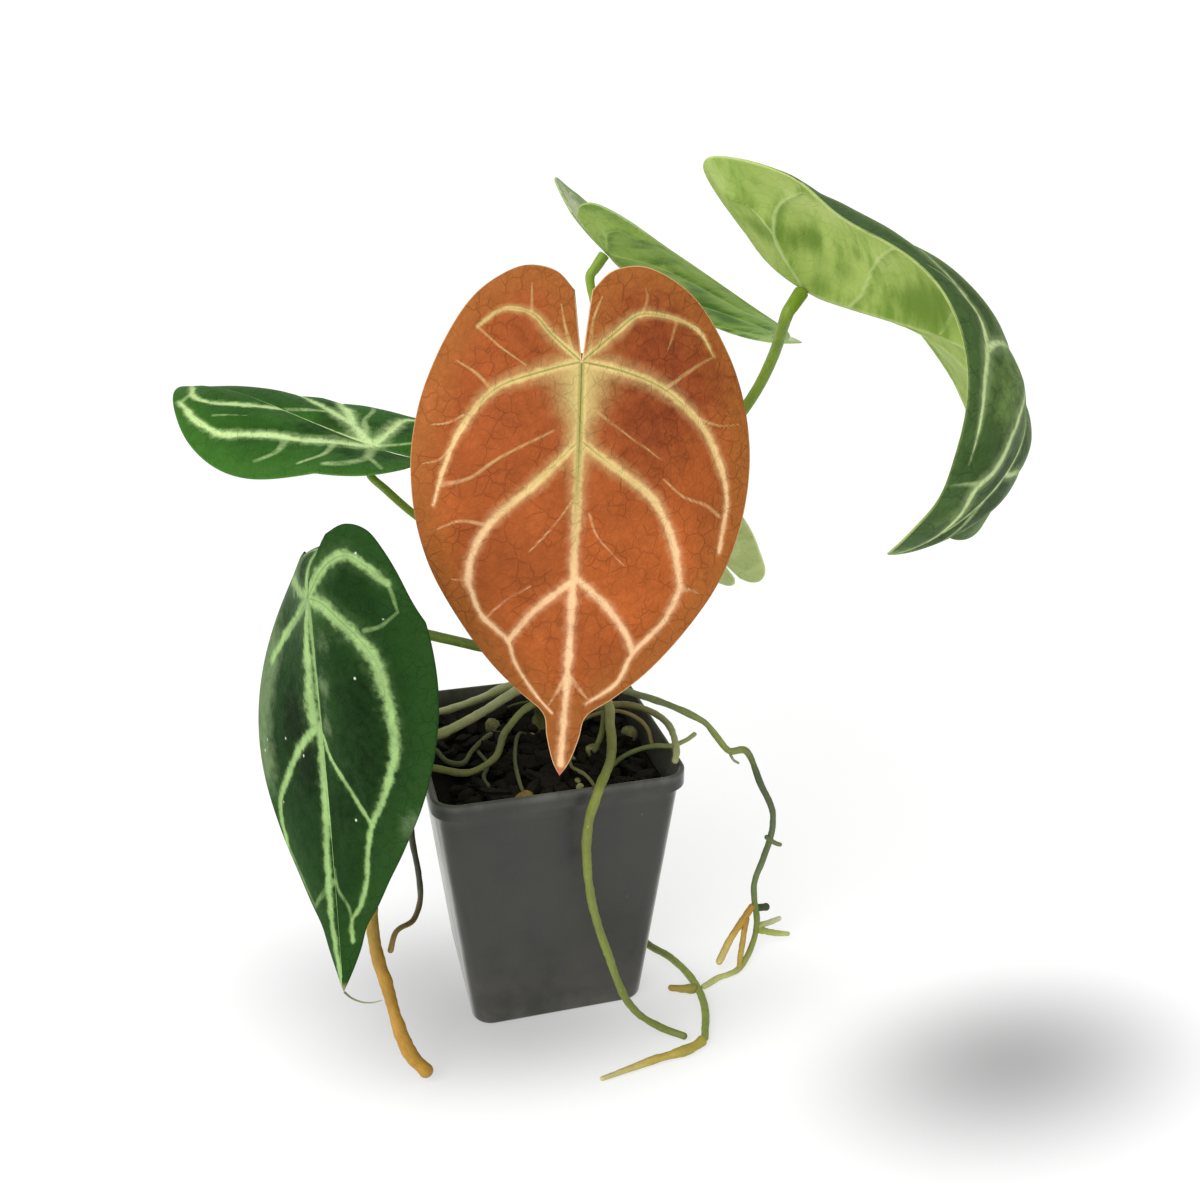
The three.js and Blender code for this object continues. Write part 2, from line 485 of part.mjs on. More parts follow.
// Blade: a grid over both halves, quilted up between the veins, with ribs below along them
function makeBlade(leaf) {
  const frames = { 1: midribFrames(leaf, 1), [-1]: midribFrames(leaf, -1) };
  const margin = outlinePoints(BLADE_ROWS, leaf.tipFill);
  const ribStart = margin.map((edge) => Math.max(0, edge.x - ROW_SLANT * edge.y));
  const nearestRow = (start) => ribStart.reduce(
    (best, value, row) => (Math.abs(value - start) < Math.abs(ribStart[best] - start) ? row : best), 0);
  const lobeRows = LOBE_VEIN_REACHES.map((reach) => margin.reduce(
    (best, edge, row) => (Math.abs(edge.x - reach) < Math.abs(margin[best].x - reach) ? row : best), 0));
  const veinRows = new Set([...LATERAL_VEIN_STARTS.map(nearestRow), ...lobeRows]);
  const vertices = [];
  const quilt = [];
  const rib = [];
  const known = new Map();
  const vertexAt = (side, row, column) => {
    const edge = margin[row];
    const share = BLADE_COLUMNS[column];
    const along = ribStart[row] + (edge.x - ribStart[row]) * share;
    const out = edge.y * share;
    const key = `${out < TINY ? 0 : side},${along.toFixed(5)},${out.toFixed(5)}`;
    if (!known.has(key)) {
      known.set(key, vertices.length);
      vertices.push(bentPoint(leaf, frames[side], along * leaf.length, out * leaf.length * leaf.width, side));
      const onMidrib = out < TINY;
      const onMargin = column === BLADE_COLUMNS.length - 1 || row === BLADE_ROWS - 1;
      const onVein = veinRows.has(row) || column === COLLECTIVE_VEIN_COLUMN;
      quilt.push(onMidrib || onMargin || onVein ? 0 : QUILT_RISE);
      rib.push(onMidrib ? MIDRIB_DEPTH * (1 - MIDRIB_TAPER * along) : (onVein && !onMargin ? VEIN_DEPTH : 0));
    }
    return known.get(key);
  };
  const faces = [];
  for (const side of [1, -1]) {
    for (let row = 0; row < BLADE_ROWS - 1; row += 1) {
      for (let column = 0; column < BLADE_COLUMNS.length - 1; column += 1) {
        const corners = [[row, column], [row + 1, column], [row + 1, column + 1], [row, column + 1]]
          .map(([atRow, atColumn]) => vertexAt(side, atRow, atColumn));
        for (const [a, b, c] of [[0, 1, 2], [0, 2, 3]]) {
          const face = [corners[a], corners[b], corners[c]];
          if (new Set(face).size === 3) faces.push(side > 0 ? face : face.reverse());
        }
      }
    }
  }
  const sheet = meshFrom(vertices, faces);
  sheet.computeVertexNormals();
  const normals = sheet.getAttribute('normal');
  const normalAt = (index) => new THREE.Vector3().fromBufferAttribute(normals, index);
  const top = vertices.map((vertex, index) => vertex.clone()
    .addScaledVector(normalAt(index), BLADE_THICKNESS / 2 + quilt[index]));
  const bottom = vertices.map((vertex, index) => vertex.clone()
    .addScaledVector(normalAt(index), -BLADE_THICKNESS / 2 + quilt[index] - rib[index]));
  const below = (index) => index + vertices.length;
  const edges = new Set(faces.flatMap(([a, b, c]) => [`${a},${b}`, `${b},${c}`, `${c},${a}`]));
  const rim = [...edges]
    .map((edge) => edge.split(',').map(Number))
    .filter(([a, b]) => !edges.has(`${b},${a}`));
  const triangles = [
    ...faces,
    ...faces.map(([a, b, c]) => [below(a), below(c), below(b)]),
    ...rim.flatMap(([a, b]) => [[b, a, below(a)], [b, below(a), below(b)]]),
  ];
  return meshFrom([...top, ...bottom], triangles);
}

// Petiole: rises from the stem and turns square to the blade, thicker at that last bend
function makePetiole(name, room = 0) {
  const leaf = LEAVES[name];
  const base = midribFrames(leaf, 1).find((frame) => frame.along === 0);
  const underside = BLADE_THICKNESS / 2 + MIDRIB_DEPTH + PETIOLE_GAP;
  const approach = (distance) => point(leaf.seat).addScaledVector(base.upper, -distance).toArray();
  const { radius, path: rise } = PETIOLES[name];
  const path = [...rise, ...PETIOLE_APPROACH.map(approach), approach(underside)];
  const radiusAt = (share) => THREE.MathUtils.lerp(
    radius, radius * GENICULUM_SWELL, THREE.MathUtils.smoothstep(share, 1 - GENICULUM_SHARE, 1));
  return tube(path, radiusAt, PETIOLE_SIDES, PETIOLE_STEPS, { room, crowding: PETIOLE_CROWDING });
}

// Root with its side branches fused on, or the room that it takes up where room is above 0
function makeRoot(root, room = 0) {
  const strand = (piece, steps) => toSolid(tube(
    piece.path, (share) => THREE.MathUtils.lerp(...piece.radii, share), ROOT_SIDES, steps, { room }));
  const branches = (root.branches ?? []).map((branch) => strand(branch, BRANCH_STEPS));
  return branches.reduce((whole, branch) => whole.add(branch), strand(root, root.steps));
}

const group = new THREE.Group();

function addPiece(name, geometry, color, roughness) {
  const faceted = geometry.index ? geometry.toNonIndexed() : geometry;
  faceted.computeVertexNormals();
  const mesh = new THREE.Mesh(faceted, new THREE.MeshStandardMaterial({ color, roughness, metalness: 0 }));
  mesh.name = name;
  group.add(mesh);
}

const rootRooms = Object.values(ROOTS).map((root) => makeRoot(root, CLEARANCE));
const petioleRooms = Object.keys(PETIOLES).map((name) => toSolid(makePetiole(name, CLEARANCE)));
const stemSolid = [...rootRooms, ...petioleRooms].reduce(
  (rest, room) => rest.subtract(room), toSolid(makeStem()));

const mixGeometry = makePottingMix([toSolid(makeStem(CLEARANCE)), ...rootRooms]);
addPiece('pot', makePot(), COLORS.pot, ROUGHNESS.pot);
addPiece('potting_mix', mixGeometry, COLORS.potting_mix, ROUGHNESS.potting_mix);
addPiece('stem', toGeometry(stemSolid), COLORS.stem, ROUGHNESS.stem);
for (const [name, root] of Object.entries(ROOTS)) {
  addPiece(name, toGeometry(makeRoot(root)), root.color, ROUGHNESS.root);
}
for (const [name, leaf] of Object.entries(LEAVES)) {
  addPiece(`petiole_${name}`, makePetiole(name), COLORS.petiole, ROUGHNESS.petiole);
  addPiece(`blade_${name}`, makeBlade(leaf), leaf.color, ROUGHNESS.blade);
}

export default group;
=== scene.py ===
"""Potted anthurium with heart-shaped, pale-veined leaves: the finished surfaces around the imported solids.

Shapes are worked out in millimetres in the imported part's own frame and stored in metres.
"""
import math

import bmesh
import bpy
import numpy as np
from bpy.props import FloatProperty, FloatVectorProperty, IntProperty, PointerProperty
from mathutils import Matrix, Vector


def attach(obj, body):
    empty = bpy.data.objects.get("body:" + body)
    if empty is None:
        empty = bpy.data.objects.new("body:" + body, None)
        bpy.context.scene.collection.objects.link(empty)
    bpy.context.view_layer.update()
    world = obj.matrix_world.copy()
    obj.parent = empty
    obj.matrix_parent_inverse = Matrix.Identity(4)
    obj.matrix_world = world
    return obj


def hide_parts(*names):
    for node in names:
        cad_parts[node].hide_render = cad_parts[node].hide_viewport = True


bl_info = {
    "name": "Potted Anthurium",
    "version": (1, 0, 0),
    "blender": (4, 5, 0),
    "location": "View3D > Sidebar > Anthurium",
    "description": "Makes the pot, bark mix, roots, stem, petioles and blades of a potted anthurium",
    "category": "Add Mesh",
}

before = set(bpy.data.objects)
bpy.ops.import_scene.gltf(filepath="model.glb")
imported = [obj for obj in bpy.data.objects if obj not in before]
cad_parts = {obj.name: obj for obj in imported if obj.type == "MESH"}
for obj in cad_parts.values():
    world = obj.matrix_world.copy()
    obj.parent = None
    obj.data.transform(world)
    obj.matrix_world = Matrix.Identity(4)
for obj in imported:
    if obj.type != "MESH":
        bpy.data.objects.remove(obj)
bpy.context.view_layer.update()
BODY = "root"
MM = 0.001

# Pot and mix, in millimetres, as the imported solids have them
POT_HEIGHT = 80
POT_BASE_HALF = 25.5
POT_RIM_HALF = 35
POT_WALL = 1.2
LIP_HEIGHT = 5.5
LIP_STEP = 1.7
BASE_CORNER_RADIUS = 6
RIM_CORNER_RADIUS = 7.5
FOOT_CHAMFER = 1.2
LIP_BAND = 2.4
LIP_ROUND_OUT = 0.7
LIP_ROUND_IN = 0.5
INNER_FOOT = (1, 2)
DRAIN_RADIUS = 3.5
DRAIN_OFFSET = 15
DRAIN_CUT = 8
MIX_TOP = 72.5
MIX_EDGE_DROP = 1.5
MIX_FLOOR_GAP = 0.3
MIX_WALL_GAP = 0.15
MIX_RELIEF = 1.1
MIX_TOP_RINGS = 46
CHIP_CLEARANCE = 4.5
LUMP_RADIUS = 2.6
LUMP_PLACES = [(6.5, -9), (15, -4.5), (-10, 18), (28.5, 3)]
AMBER_PLACE = (-9.5, -27)
AMBER_SIZE = (2.3, 2, 2.2)
AMBER_TURN = (0.2, 0.3, 0.4)

# Fineness of the pot: rings, steps and sides, the share of the wall that its rings span, the half
# width and corner radius of the innermost ring, and the angle in degrees over which an edge is sharp
WALL_RINGS = 8
WALL_SPAN = (0.08, 0.96)
BEND_STEPS = 5
DRAIN_SIDES = 32
RING_MIDDLE = (0.5, 0.2)
POT_SHARP_ANGLE = 32

# How worn the pot is along its profile, from 0 to 1
FOOT_WEAR = 0.3
STEP_WEAR = 0.15
BAND_WEAR = 0.1
LIP_WEAR = 0.8

# Blades. Half outline from the tip round to the inner corner of the basal lobe: the distance along
# the midrib, the distance out from it, and what a full tip adds to that, in blade lengths.
HALF_OUTLINE = [
    (1, 0, 0), (0.965, 0.02, 0.002), (0.9, 0.04, 0.02), (0.845, 0.052, 0.036), (0.795, 0.115, 0.02),
    (0.73, 0.19, 0), (0.63, 0.275, 0), (0.5, 0.357, 0), (0.36, 0.402, 0), (0.21, 0.412, 0),
    (0.07, 0.385, 0), (-0.06, 0.328, 0), (-0.148, 0.268, 0), (-0.197, 0.206, 0), (-0.224, 0.135, 0),
    (-0.21, 0.065, 0), (-0.165, 0.02, 0),
]
BLADE_FINENESS = {"front": 1, "low": 0.8, "left": 0.55, "back": 0.55, "high": 0.8, "small": 0.4}
ROW_SLANT = 0.75
LOBE_REACH = 0.25
HALF_WIDTH_SHARE = 0.41
FRAME_STEPS = 64
LOBE_STEPS = 12
MARGIN_ROUNDING = 0.6

# Numbers stored for each point of a blade, which its materials read
BLADE_VALUES = ("vein", "thin_vein", "margin", "reach", "rib_gap", "shade_and_sheen")

# Relief of a blade in millimetres: each depth, and the distance over which it fades. The last value
# is the share by which groove and rib are shallower at the tip.
QUILT_REACH = 5
MARGIN_REACH = 4
SEAT_REACH = 1.5
GROOVE_DEPTH = 0.3
GROOVE_REACH = 0.8
MIDRIB_DEPTH = 0.8
MIDRIB_REACH = 1.1
TIP_FADE = 0.7

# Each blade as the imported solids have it: heading, pitch and roll aim the midrib at the seat, droop,
# sweep and twist bend it, fold and curl shape each half at the base, half way and the tip, and the
# lobe values raise and roll the basal lobes.
LEAVES = {
    "front": dict(
        seat=(7.5, -24.8, 191), length=103, width=0.99, heading=250, pitch=-74, roll=-3,
        droop=9, droop_power=1.5, sweep=4, twist=0, fold_right=(-1, -2, -3), fold_left=(1, -5, -3),
        curl_right=(-14, -10, -10), curl_left=(-12, -10, -10), lobe_bend=(-9, -9),
        lobe_fold=0, lobe_curl=0, tip_fill=0),
    "low": dict(
        seat=(-60.8, -23, 136.8), length=101, width=0.96, heading=244.3, pitch=-89.9, roll=43,
        droop=-19.6, droop_power=1.5, sweep=-28.6, twist=-24.6, fold_right=(-13.3, 1, -19.9),
        fold_left=(-9.5, 2.5, -27.1), curl_right=(-20.8, -7.6, -43.9), curl_left=(-39.8, -22.5, 48.4),
        lobe_bend=(-118, -41.6), lobe_fold=0, lobe_curl=0, tip_fill=1),
    "left": dict(
        seat=(-40, 15.9, 163.1), length=80.2, width=0.926, heading=141.8, pitch=13, roll=-2.4,
        droop=49.6, droop_power=3.78, sweep=19.3, twist=15, fold_right=(15.3, 7, -6.8),
        fold_left=(7.5, 3.3, 5.2), curl_right=(-35, -35.4, -31.9), curl_left=(-12.9, -52.8, -17.1),
        lobe_bend=(3, 16.7), lobe_fold=0, lobe_curl=0, tip_fill=0),
    "back": dict(
        seat=(30.7, 38.4, 209.3), length=96, width=0.88, heading=24.6, pitch=-34, roll=12.7,
        droop=-28, droop_power=1.5, sweep=-8, twist=6, fold_right=(19, 21, 30), fold_left=(25, 22, 30),
        curl_right=(-9, -4, 5), curl_left=(-8, -4, 5), lobe_bend=(17, 17),
        lobe_fold=0, lobe_curl=0, tip_fill=0.5),
    "high": dict(
        seat=(68.5, -13.8, 204.3), length=129.3, width=1.061, heading=-44.1, pitch=-15.9, roll=-50.7,
        droop=180, droop_power=2.25, sweep=63.3, twist=47.3, fold_right=(9.9, 23.5, 64),
        fold_left=(66, -7.8, -56.3), curl_right=(-48.2, -59.9, -60.4), curl_left=(-13.2, -90.8, -323),
        lobe_bend=(71, 93), lobe_fold=-72, lobe_curl=166, tip_fill=1),
    "small": dict(
        seat=(51.5, -6.5, 130.5), length=50, width=0.85, heading=180, pitch=50, roll=37,
        droop=25, droop_power=1.5, sweep=0, twist=0, fold_right=(6, 5, 5), fold_left=(4, 5, 5),
        curl_right=(5, 5, 5), curl_left=(-13, 5, 5), lobe_bend=(1, 1),
        lobe_fold=0, lobe_curl=0, tip_fill=0),
}

# Veins of a blade: the half width of the pale band at the start and the end, in millimetres on a
# blade 100 mm long, then points along and out from the midrib in blade lengths. The main veins carry
# the relief, and the thin ones and the bands, which are as pale as the main ones, are drawn only.
MIDRIB_PATH = [(0, 0), (0.5, 0), (0.97, 0)]
RIGHT_VEINS = {
    "main": [
        (1.8, 0.5, [(0, 0), (0.02, 0.08), (0.07, 0.21), (0.17, 0.29), (0.27, 0.33), (0.35, 0.35)]),
        (1.3, 0.4, [(0, 0), (-0.06, 0.07), (-0.11, 0.12), (-0.12, 0.19), (-0.08, 0.25)]),
        (1.5, 1.3, [(0.18, 0), (0.29, 0.105), (0.39, 0.21), (0.47, 0.25), (0.535, 0.255)]),
        (1, 0.4, [(0.535, 0.255), (0.61, 0.22), (0.67, 0.15), (0.72, 0.13), (0.79, 0.08), (0.84, 0.03)]),
        (1.3, 1, [(0.51, 0), (0.59, 0.09), (0.67, 0.15)]),
    ],
    "thin": [
        (0.9, 0.4, [(0.07, 0.21), (0.03, 0.25), (0, 0.3)]),
        (1, 0.5, [(0.3, 0.33), (0.28, 0.26), (0.23, 0.19), (0.16, 0.06)]),
        (0.7, 0.3, [(-0.11, 0.12), (-0.18, 0.12)]),
        (0.6, 0.35, [(-0.08, 0.25), (-0.03, 0.19), (0.01, 0.13)]),
        (0.9, 0.3, [(-0.02, 0.02), (-0.08, 0.04), (-0.13, 0.05)]),
        (0.9, 0.4, [(0.39, 0.22), (0.385, 0.28), (0.41, 0.34)]),
        (0.8, 0.3, [(0.53, 0.255), (0.53, 0.3)]),
        (1.1, 0.5, [(0.74, 0), (0.82, 0.04)]),
        (0.5, 0.4, [(0.32, 0.01), (0.38, 0.05), (0.45, 0.11)]),
        (0.6, 0.35, [(0.13, 0.28), (0.15, 0.32), (0.155, 0.36)]),
        (0.6, 0.35, [(0.21, 0.31), (0.24, 0.34), (0.25, 0.38)]),
        (0.6, 0.4, [(0.62, 0.21), (0.57, 0.16), (0.53, 0.1)]),
    ],
}
LEFT_VEINS = {
    "main": [
        (1.8, 0.6, [(0, 0), (0.02, 0.1), (0.06, 0.2), (0.14, 0.29), (0.23, 0.34), (0.3, 0.36), (0.43, 0.35)]),
        (1.3, 0.35, [(0, 0), (-0.07, 0.08), (-0.11, 0.13), (-0.11, 0.19), (-0.08, 0.27), (-0.02, 0.31)]),
        (1.5, 1.3, [(0.18, 0), (0.25, 0.1), (0.31, 0.18), (0.41, 0.235), (0.52, 0.26)]),
        (1.1, 0.6, [(0.52, 0.26), (0.6, 0.225), (0.68, 0.155), (0.755, 0.12), (0.81, 0.05)]),
        (1.3, 1.1, [(0.5, 0), (0.56, 0.075), (0.635, 0.135), (0.68, 0.155)]),
    ],
    "thin": [
        (0.9, 0.45, [(0.055, 0.2), (0.01, 0.26), (-0.02, 0.31)]),
        (0.4, 0.9, [(0.26, 0.2), (0.3, 0.25), (0.32, 0.31), (0.345, 0.345)]),
        (0.9, 0.35, [(-0.02, 0.02), (-0.095, 0.025), (-0.15, 0.045)]),
        (0.8, 0.35, [(0.53, 0.255), (0.52, 0.28), (0.53, 0.31)]),
        (1.1, 0.5, [(0.75, 0.01), (0.8, 0.055)]),
        (0.6, 0.35, [(0.35, 0.03), (0.4, 0.05), (0.47, 0.12)]),
        (0.6, 0.4, [(0.11, 0.035), (0.15, 0.09), (0.22, 0.2)]),
        (0.6, 0.35, [(0.12, 0.28), (0.135, 0.33), (0.13, 0.38)]),
        (0.8, 0.35, [(-0.11, 0.14), (-0.15, 0.15), (-0.17, 0.145)]),
        (0.7, 0.35, [(-0.1, 0.22), (-0.06, 0.21), (-0.03, 0.2)]),
    ],
}
# The low blade's outer veins run on to the tip, and the side veins join them
LOW_RIGHT_VEINS = {
    "main": [
        (2.4, 1.6, [(0, 0), (0.03, 0.05), (0.07, 0.11), (0.12, 0.19), (0.17, 0.26), (0.24, 0.34)]),
        (1.9, 1.2, [(0, 0), (-0.06, 0.07), (-0.12, 0.12), (-0.12, 0.19), (-0.06, 0.27)]),
        (1.7, 1.3, [(0.33, 0), (0.39, 0.1), (0.49, 0.2), (0.57, 0.26), (0.66, 0.24)]),
    ],
    "thin": [
        (1.2, 0.8, [(0.66, 0.24), (0.72, 0.18), (0.8, 0.11)]),
        (1.2, 0.8, [(0.73, 0), (0.78, 0.08), (0.8, 0.11)]),
        (1.1, 0.8, [(0.06, 0.2), (0, 0.29)]),
    ],
    "bands": [
        (1.6, 3.6, [(0.01, 0.01), (0.08, 0.034), (0.17, 0.042), (0.25, 0.045), (0.325, 0.036)]),
        (1.9, 1.2, [(0.35, 0.008), (0.5, 0.012), (0.6, 0.018), (0.78, 0.028), (0.9, 0.018), (0.98, 0)]),
        (2.2, 1.5, [(0, 0), (0.02, 0.1), (0.03, 0.2), (0.05, 0.3)]),
    ],
}
LOW_LEFT_VEINS = {
    "main": [
        (2.8, 2.1, [(0, 0), (0, 0.05), (0.03, 0.12), (0.07, 0.19), (0.12, 0.24), (0.2, 0.27), (0.3, 0.295)]),
        (2, 1.1, [(0.3, 0.295), (0.36, 0.29), (0.42, 0.27), (0.49, 0.235), (0.57, 0.175)]),
        (1.1, 0.8, [(0.57, 0.175), (0.65, 0.14), (0.72, 0.12), (0.79, 0.08), (0.83, 0.045), (0.88, 0.04)]),
        (2.1, 1.5, [(0, 0), (-0.03, 0.02), (-0.1, 0.06), (-0.14, 0.11), (-0.14, 0.16), (-0.11, 0.25)]),
        (1, 0.9, [(0.36, 0.01), (0.4, 0.03), (0.48, 0.11), (0.57, 0.18)]),
    ],
    "thin": [
        (1, 0.5, [(-0.11, 0.25), (-0.08, 0.27), (-0.03, 0.29)]),
        (0.6, 0.9, [(-0.03, 0.29), (0.02, 0.25), (0.04, 0.2)]),
        (0.9, 0.7, [(0.7, 0), (0.75, 0.01), (0.79, 0.04), (0.83, 0.045)]),
    ],
}
# The left blade's side veins are broad and nearly straight, and fork towards the margin
SIDE_RIGHT_VEINS = {
    "main": [
        (2.4, 1.2, [(0, 0), (0.06, 0.03), (0.14, 0.08), (0.24, 0.11), (0.38, 0.155), (0.49, 0.21),
                    (0.57, 0.3)]),
        (2.2, 1.5, [(0.14, 0.08), (0.22, 0.16), (0.31, 0.23), (0.38, 0.33)]),
        (2.2, 1.5, [(0, 0), (0.01, 0.14), (0.03, 0.27), (-0.02, 0.33)]),
    ],
    "thin": [
        (1.7, 1.3, [(0.06, 0.04), (0.08, 0.08), (0.12, 0.13), (0.15, 0.22), (0.22, 0.33)]),
        (1.7, 1.6, [(0.26, 0.11), (0.3, 0.07), (0.33, 0.045), (0.38, 0)]),
        (1.1, 0.8, [(0, 0), (-0.1, 0.08), (-0.15, 0.15)]),
    ],
}
SIDE_LEFT_VEINS = {
    "main": [
        (2.8, 1.7, [(0, 0), (0.02, 0.04), (0.09, 0.09), (0.16, 0.15), (0.25, 0.185), (0.33, 0.23)]),
        (1.8, 1, [(0.33, 0.23), (0.42, 0.28), (0.48, 0.275), (0.55, 0.265), (0.6, 0.245), (0.66, 0.225)]),
        (1.8, 0.9, [(0.38, 0), (0.43, 0.05), (0.51, 0.12), (0.58, 0.165), (0.65, 0.165), (0.72, 0.11),
                    (0.8, 0.05)]),
    ],
    "thin": [
        (1.8, 1, [(0.22, 0.18), (0.19, 0.25), (0.19, 0.29), (0.22, 0.34)]),
        (1.8, 1, [(0.09, 0.1), (0.06, 0.17), (0.05, 0.23), (0.08, 0.31)]),
        (3, 1.8, [(0, 0), (-0.03, 0.06), (-0.07, 0.17), (-0.04, 0.25), (0, 0.29)]),
        (1.5, 1, [(-0.06, 0.14), (-0.16, 0.21)]),
        (0.8, 0.3, [(0.5, 0.22), (0.4, 0.15)]),
        (1.3, 1.1, [(0.65, 0.22), (0.67, 0.16)]),
    ],
}
# The high blade shows its loops on the part that hangs down
HIGH_RIGHT_VEINS = {
    "main": [
        (0.8, 0.5, [(0, 0), (-0.05, 0.1), (-0.05, 0.17), (-0.03, 0.24), (0.03, 0.31), (0.12, 0.35)]),
        (0.9, 0.9, [(0.1, 0), (0.13, 0.04), (0.18, 0.14), (0.27, 0.22), (0.4, 0.28), (0.5, 0.28)]),
        (0.9, 1, [(0.5, 0.28), (0.575, 0.24), (0.6, 0.21), (0.655, 0.185)]),
        (1.5, 0.2, [(0.655, 0.185), (0.7, 0.17), (0.735, 0.145), (0.79, 0.1)]),
        (0.7, 1.3, [(0.47, 0), (0.55, 0.09), (0.61, 0.155), (0.655, 0.185)]),
        (0.7, 0.3, [(-0.04, 0.07), (-0.06, 0.15), (-0.09, 0.2), (-0.13, 0.19)]),
    ],
    "thin": [
        (0.9, 0.5, [(0.57, 0.235), (0.55, 0.31)]),
        (0.9, 0.5, [(0.3, 0), (0.36, 0.09), (0.4, 0.18)]),
        (1, 0.5, [(0.79, 0.05), (0.805, 0.07), (0.83, 0.1)]),
    ],
    "bands": [
        (0.7, 1.4, [(0.57, 0.04), (0.66, 0.06), (0.71, 0.06)]),
        (1.4, 0.8, [(0.71, 0.06), (0.76, 0.045), (0.8, 0.05), (0.84, 0.02), (0.9, 0), (0.97, 0)]),
    ],
}
HIGH_LEFT_VEINS = {
    "main": [
        (1.1, 0.8, [(0, 0), (0.02, 0.1), (0.06, 0.2), (0.14, 0.29), (0.26, 0.34), (0.38, 0.33)]),
        (0.9, 1, [(0.2, 0), (0.3, 0.1), (0.4, 0.2), (0.5, 0.25), (0.57, 0.2)]),
        (1, 1, [(0.57, 0.2), (0.62, 0.12), (0.68, 0.06), (0.74, 0)]),
        (0.9, 0.6, [(0, 0), (-0.08, 0.08), (-0.13, 0.16), (-0.1, 0.25)]),
    ],
    "thin": [
        (1.1, 0.8, [(0.5, 0), (0.56, 0.1), (0.57, 0.2)]),
        (1, 0.7, [(0.8, 0), (0.86, 0.02), (0.9, 0.03)]),
        (0.8, 0.6, [(0.5, 0.25), (0.52, 0.33)]),
    ],
}
# Each blade's right and left plan, and the half width of its midrib at the seat and the tip
VEIN_PLANS = {
    "front": (RIGHT_VEINS, LEFT_VEINS, 1.7, 1.1),
    "low": (LOW_RIGHT_VEINS, LOW_LEFT_VEINS, 1.2, -0.6),
    "left": (SIDE_RIGHT_VEINS, SIDE_LEFT_VEINS, 0.3, -5),
    "back": (RIGHT_VEINS, LEFT_VEINS, 1.6, 0.9),
    "high": (HIGH_RIGHT_VEINS, HIGH_LEFT_VEINS, 1.1, 0.2),
    "small": (RIGHT_VEINS, LEFT_VEINS, 1.6, 0.9),
}

# Patches of painted shade and sheen on each blade, partly a deeper and a paler tissue tone: the distance
# along the midrib and out from it, less than 0 on the left half, the reach, all in blade lengths, and the
# strength, more than 0 where the tone is deeper with painted shade and less than 0 where it is paler with a
# painted sheen
SHADE_AND_SHEEN_PATCHES = {
    "front": [(-0.06, -0.19, 0.15, 0.5), (0.14, -0.17, 0.12, 0.5), (0.13, 0.17, 0.11, 0.25),
              (-0.06, 0.13, 0.08, 0.25), (0.05, -0.33, 0.08, 0.3), (0.6, 0.06, 0.12, -0.3),
              (0.1, 0.36, 0.08, -0.4)],
    "low": [(0.34, 0.15, 0.1, 0.9), (0.46, 0.07, 0.07, 0.8), (0.2, -0.2, 0.1, 0.5),
            (0.4, -0.2, 0.13, 0.6), (0.55, -0.07, 0.08, 0.5), (0.1, -0.06, 0.04, -0.5),
            (0.22, -0.05, 0.045, -0.7), (0.33, -0.045, 0.045, -0.7), (0.43, -0.03, 0.04, -0.5),
            (0.28, 0.38, 0.13, -1.1), (0.47, 0.33, 0.08, -0.8), (-0.05, 0.24, 0.09, -0.7),
            (0.56, -0.33, 0.07, -0.6)],
    "left": [(0.12, 0.05, 0.07, 0.8), (0.2, 0.03, 0.06, 0.8), (0.39, 0.16, 0.07, 0.5),
             (0, 0.15, 0.07, 0.9), (-0.1, -0.06, 0.08, 0.9), (0.38, -0.34, 0.14, -0.15),
             (0.3, 0.18, 0.06, 0.5), (0.12, -0.05, 0.06, 0.8), (0.22, -0.09, 0.06, 0.7),
             (0.01, -0.16, 0.05, 0.8)],
    "back": [(0.35, 0.16, 0.07, 0.9), (0.47, 0.13, 0.07, 0.9), (0.22, 0.22, 0.07, 0.6),
             (0.06, 0.25, 0.06, 0.5), (0.75, 0.04, 0.12, -0.6), (0.05, 0.38, 0.1, -0.5),
             (-0.14, 0.27, 0.1, -0.5), (0.92, 0, 0.12, -0.8), (-0.1, -0.1, 0.14, -0.9),
             (-0.12, 0.06, 0.1, -0.7)],
    "high": [(0.02, 0.13, 0.045, 0.9), (0.03, 0.02, 0.035, 0.6), (0.09, 0.08, 0.035, 0.5),
             (0.26, 0.05, 0.07, 0.8), (-0.09, 0.21, 0.035, 0.7), (-0.08, 0.13, 0.035, 0.7),
             (-0.06, 0.27, 0.03, 0.6), (0.13, 0.14, 0.03, 0.5), (0.36, 0.08, 0.06, 0.5),
             (-0.02, 0.25, 0.05, -0.6), (0.08, 0.25, 0.07, -0.6), (0.05, 0.12, 0.03, -0.4),
             (0.2, 0.14, 0.05, -0.6), (-0.15, 0.21, 0.05, -0.6), (0.84, 0.03, 0.05, -0.4),
             (0.78, 0.09, 0.04, 0.6), (0.9, -0.02, 0.05, 0.5), (0.7, 0.11, 0.06, -0.4),
             (0.62, 0.11, 0.06, -0.4), (0.96, 0, 0.05, -0.6)],
    "small": [(0.2, 0.1, 0.1, 0.4)],
}
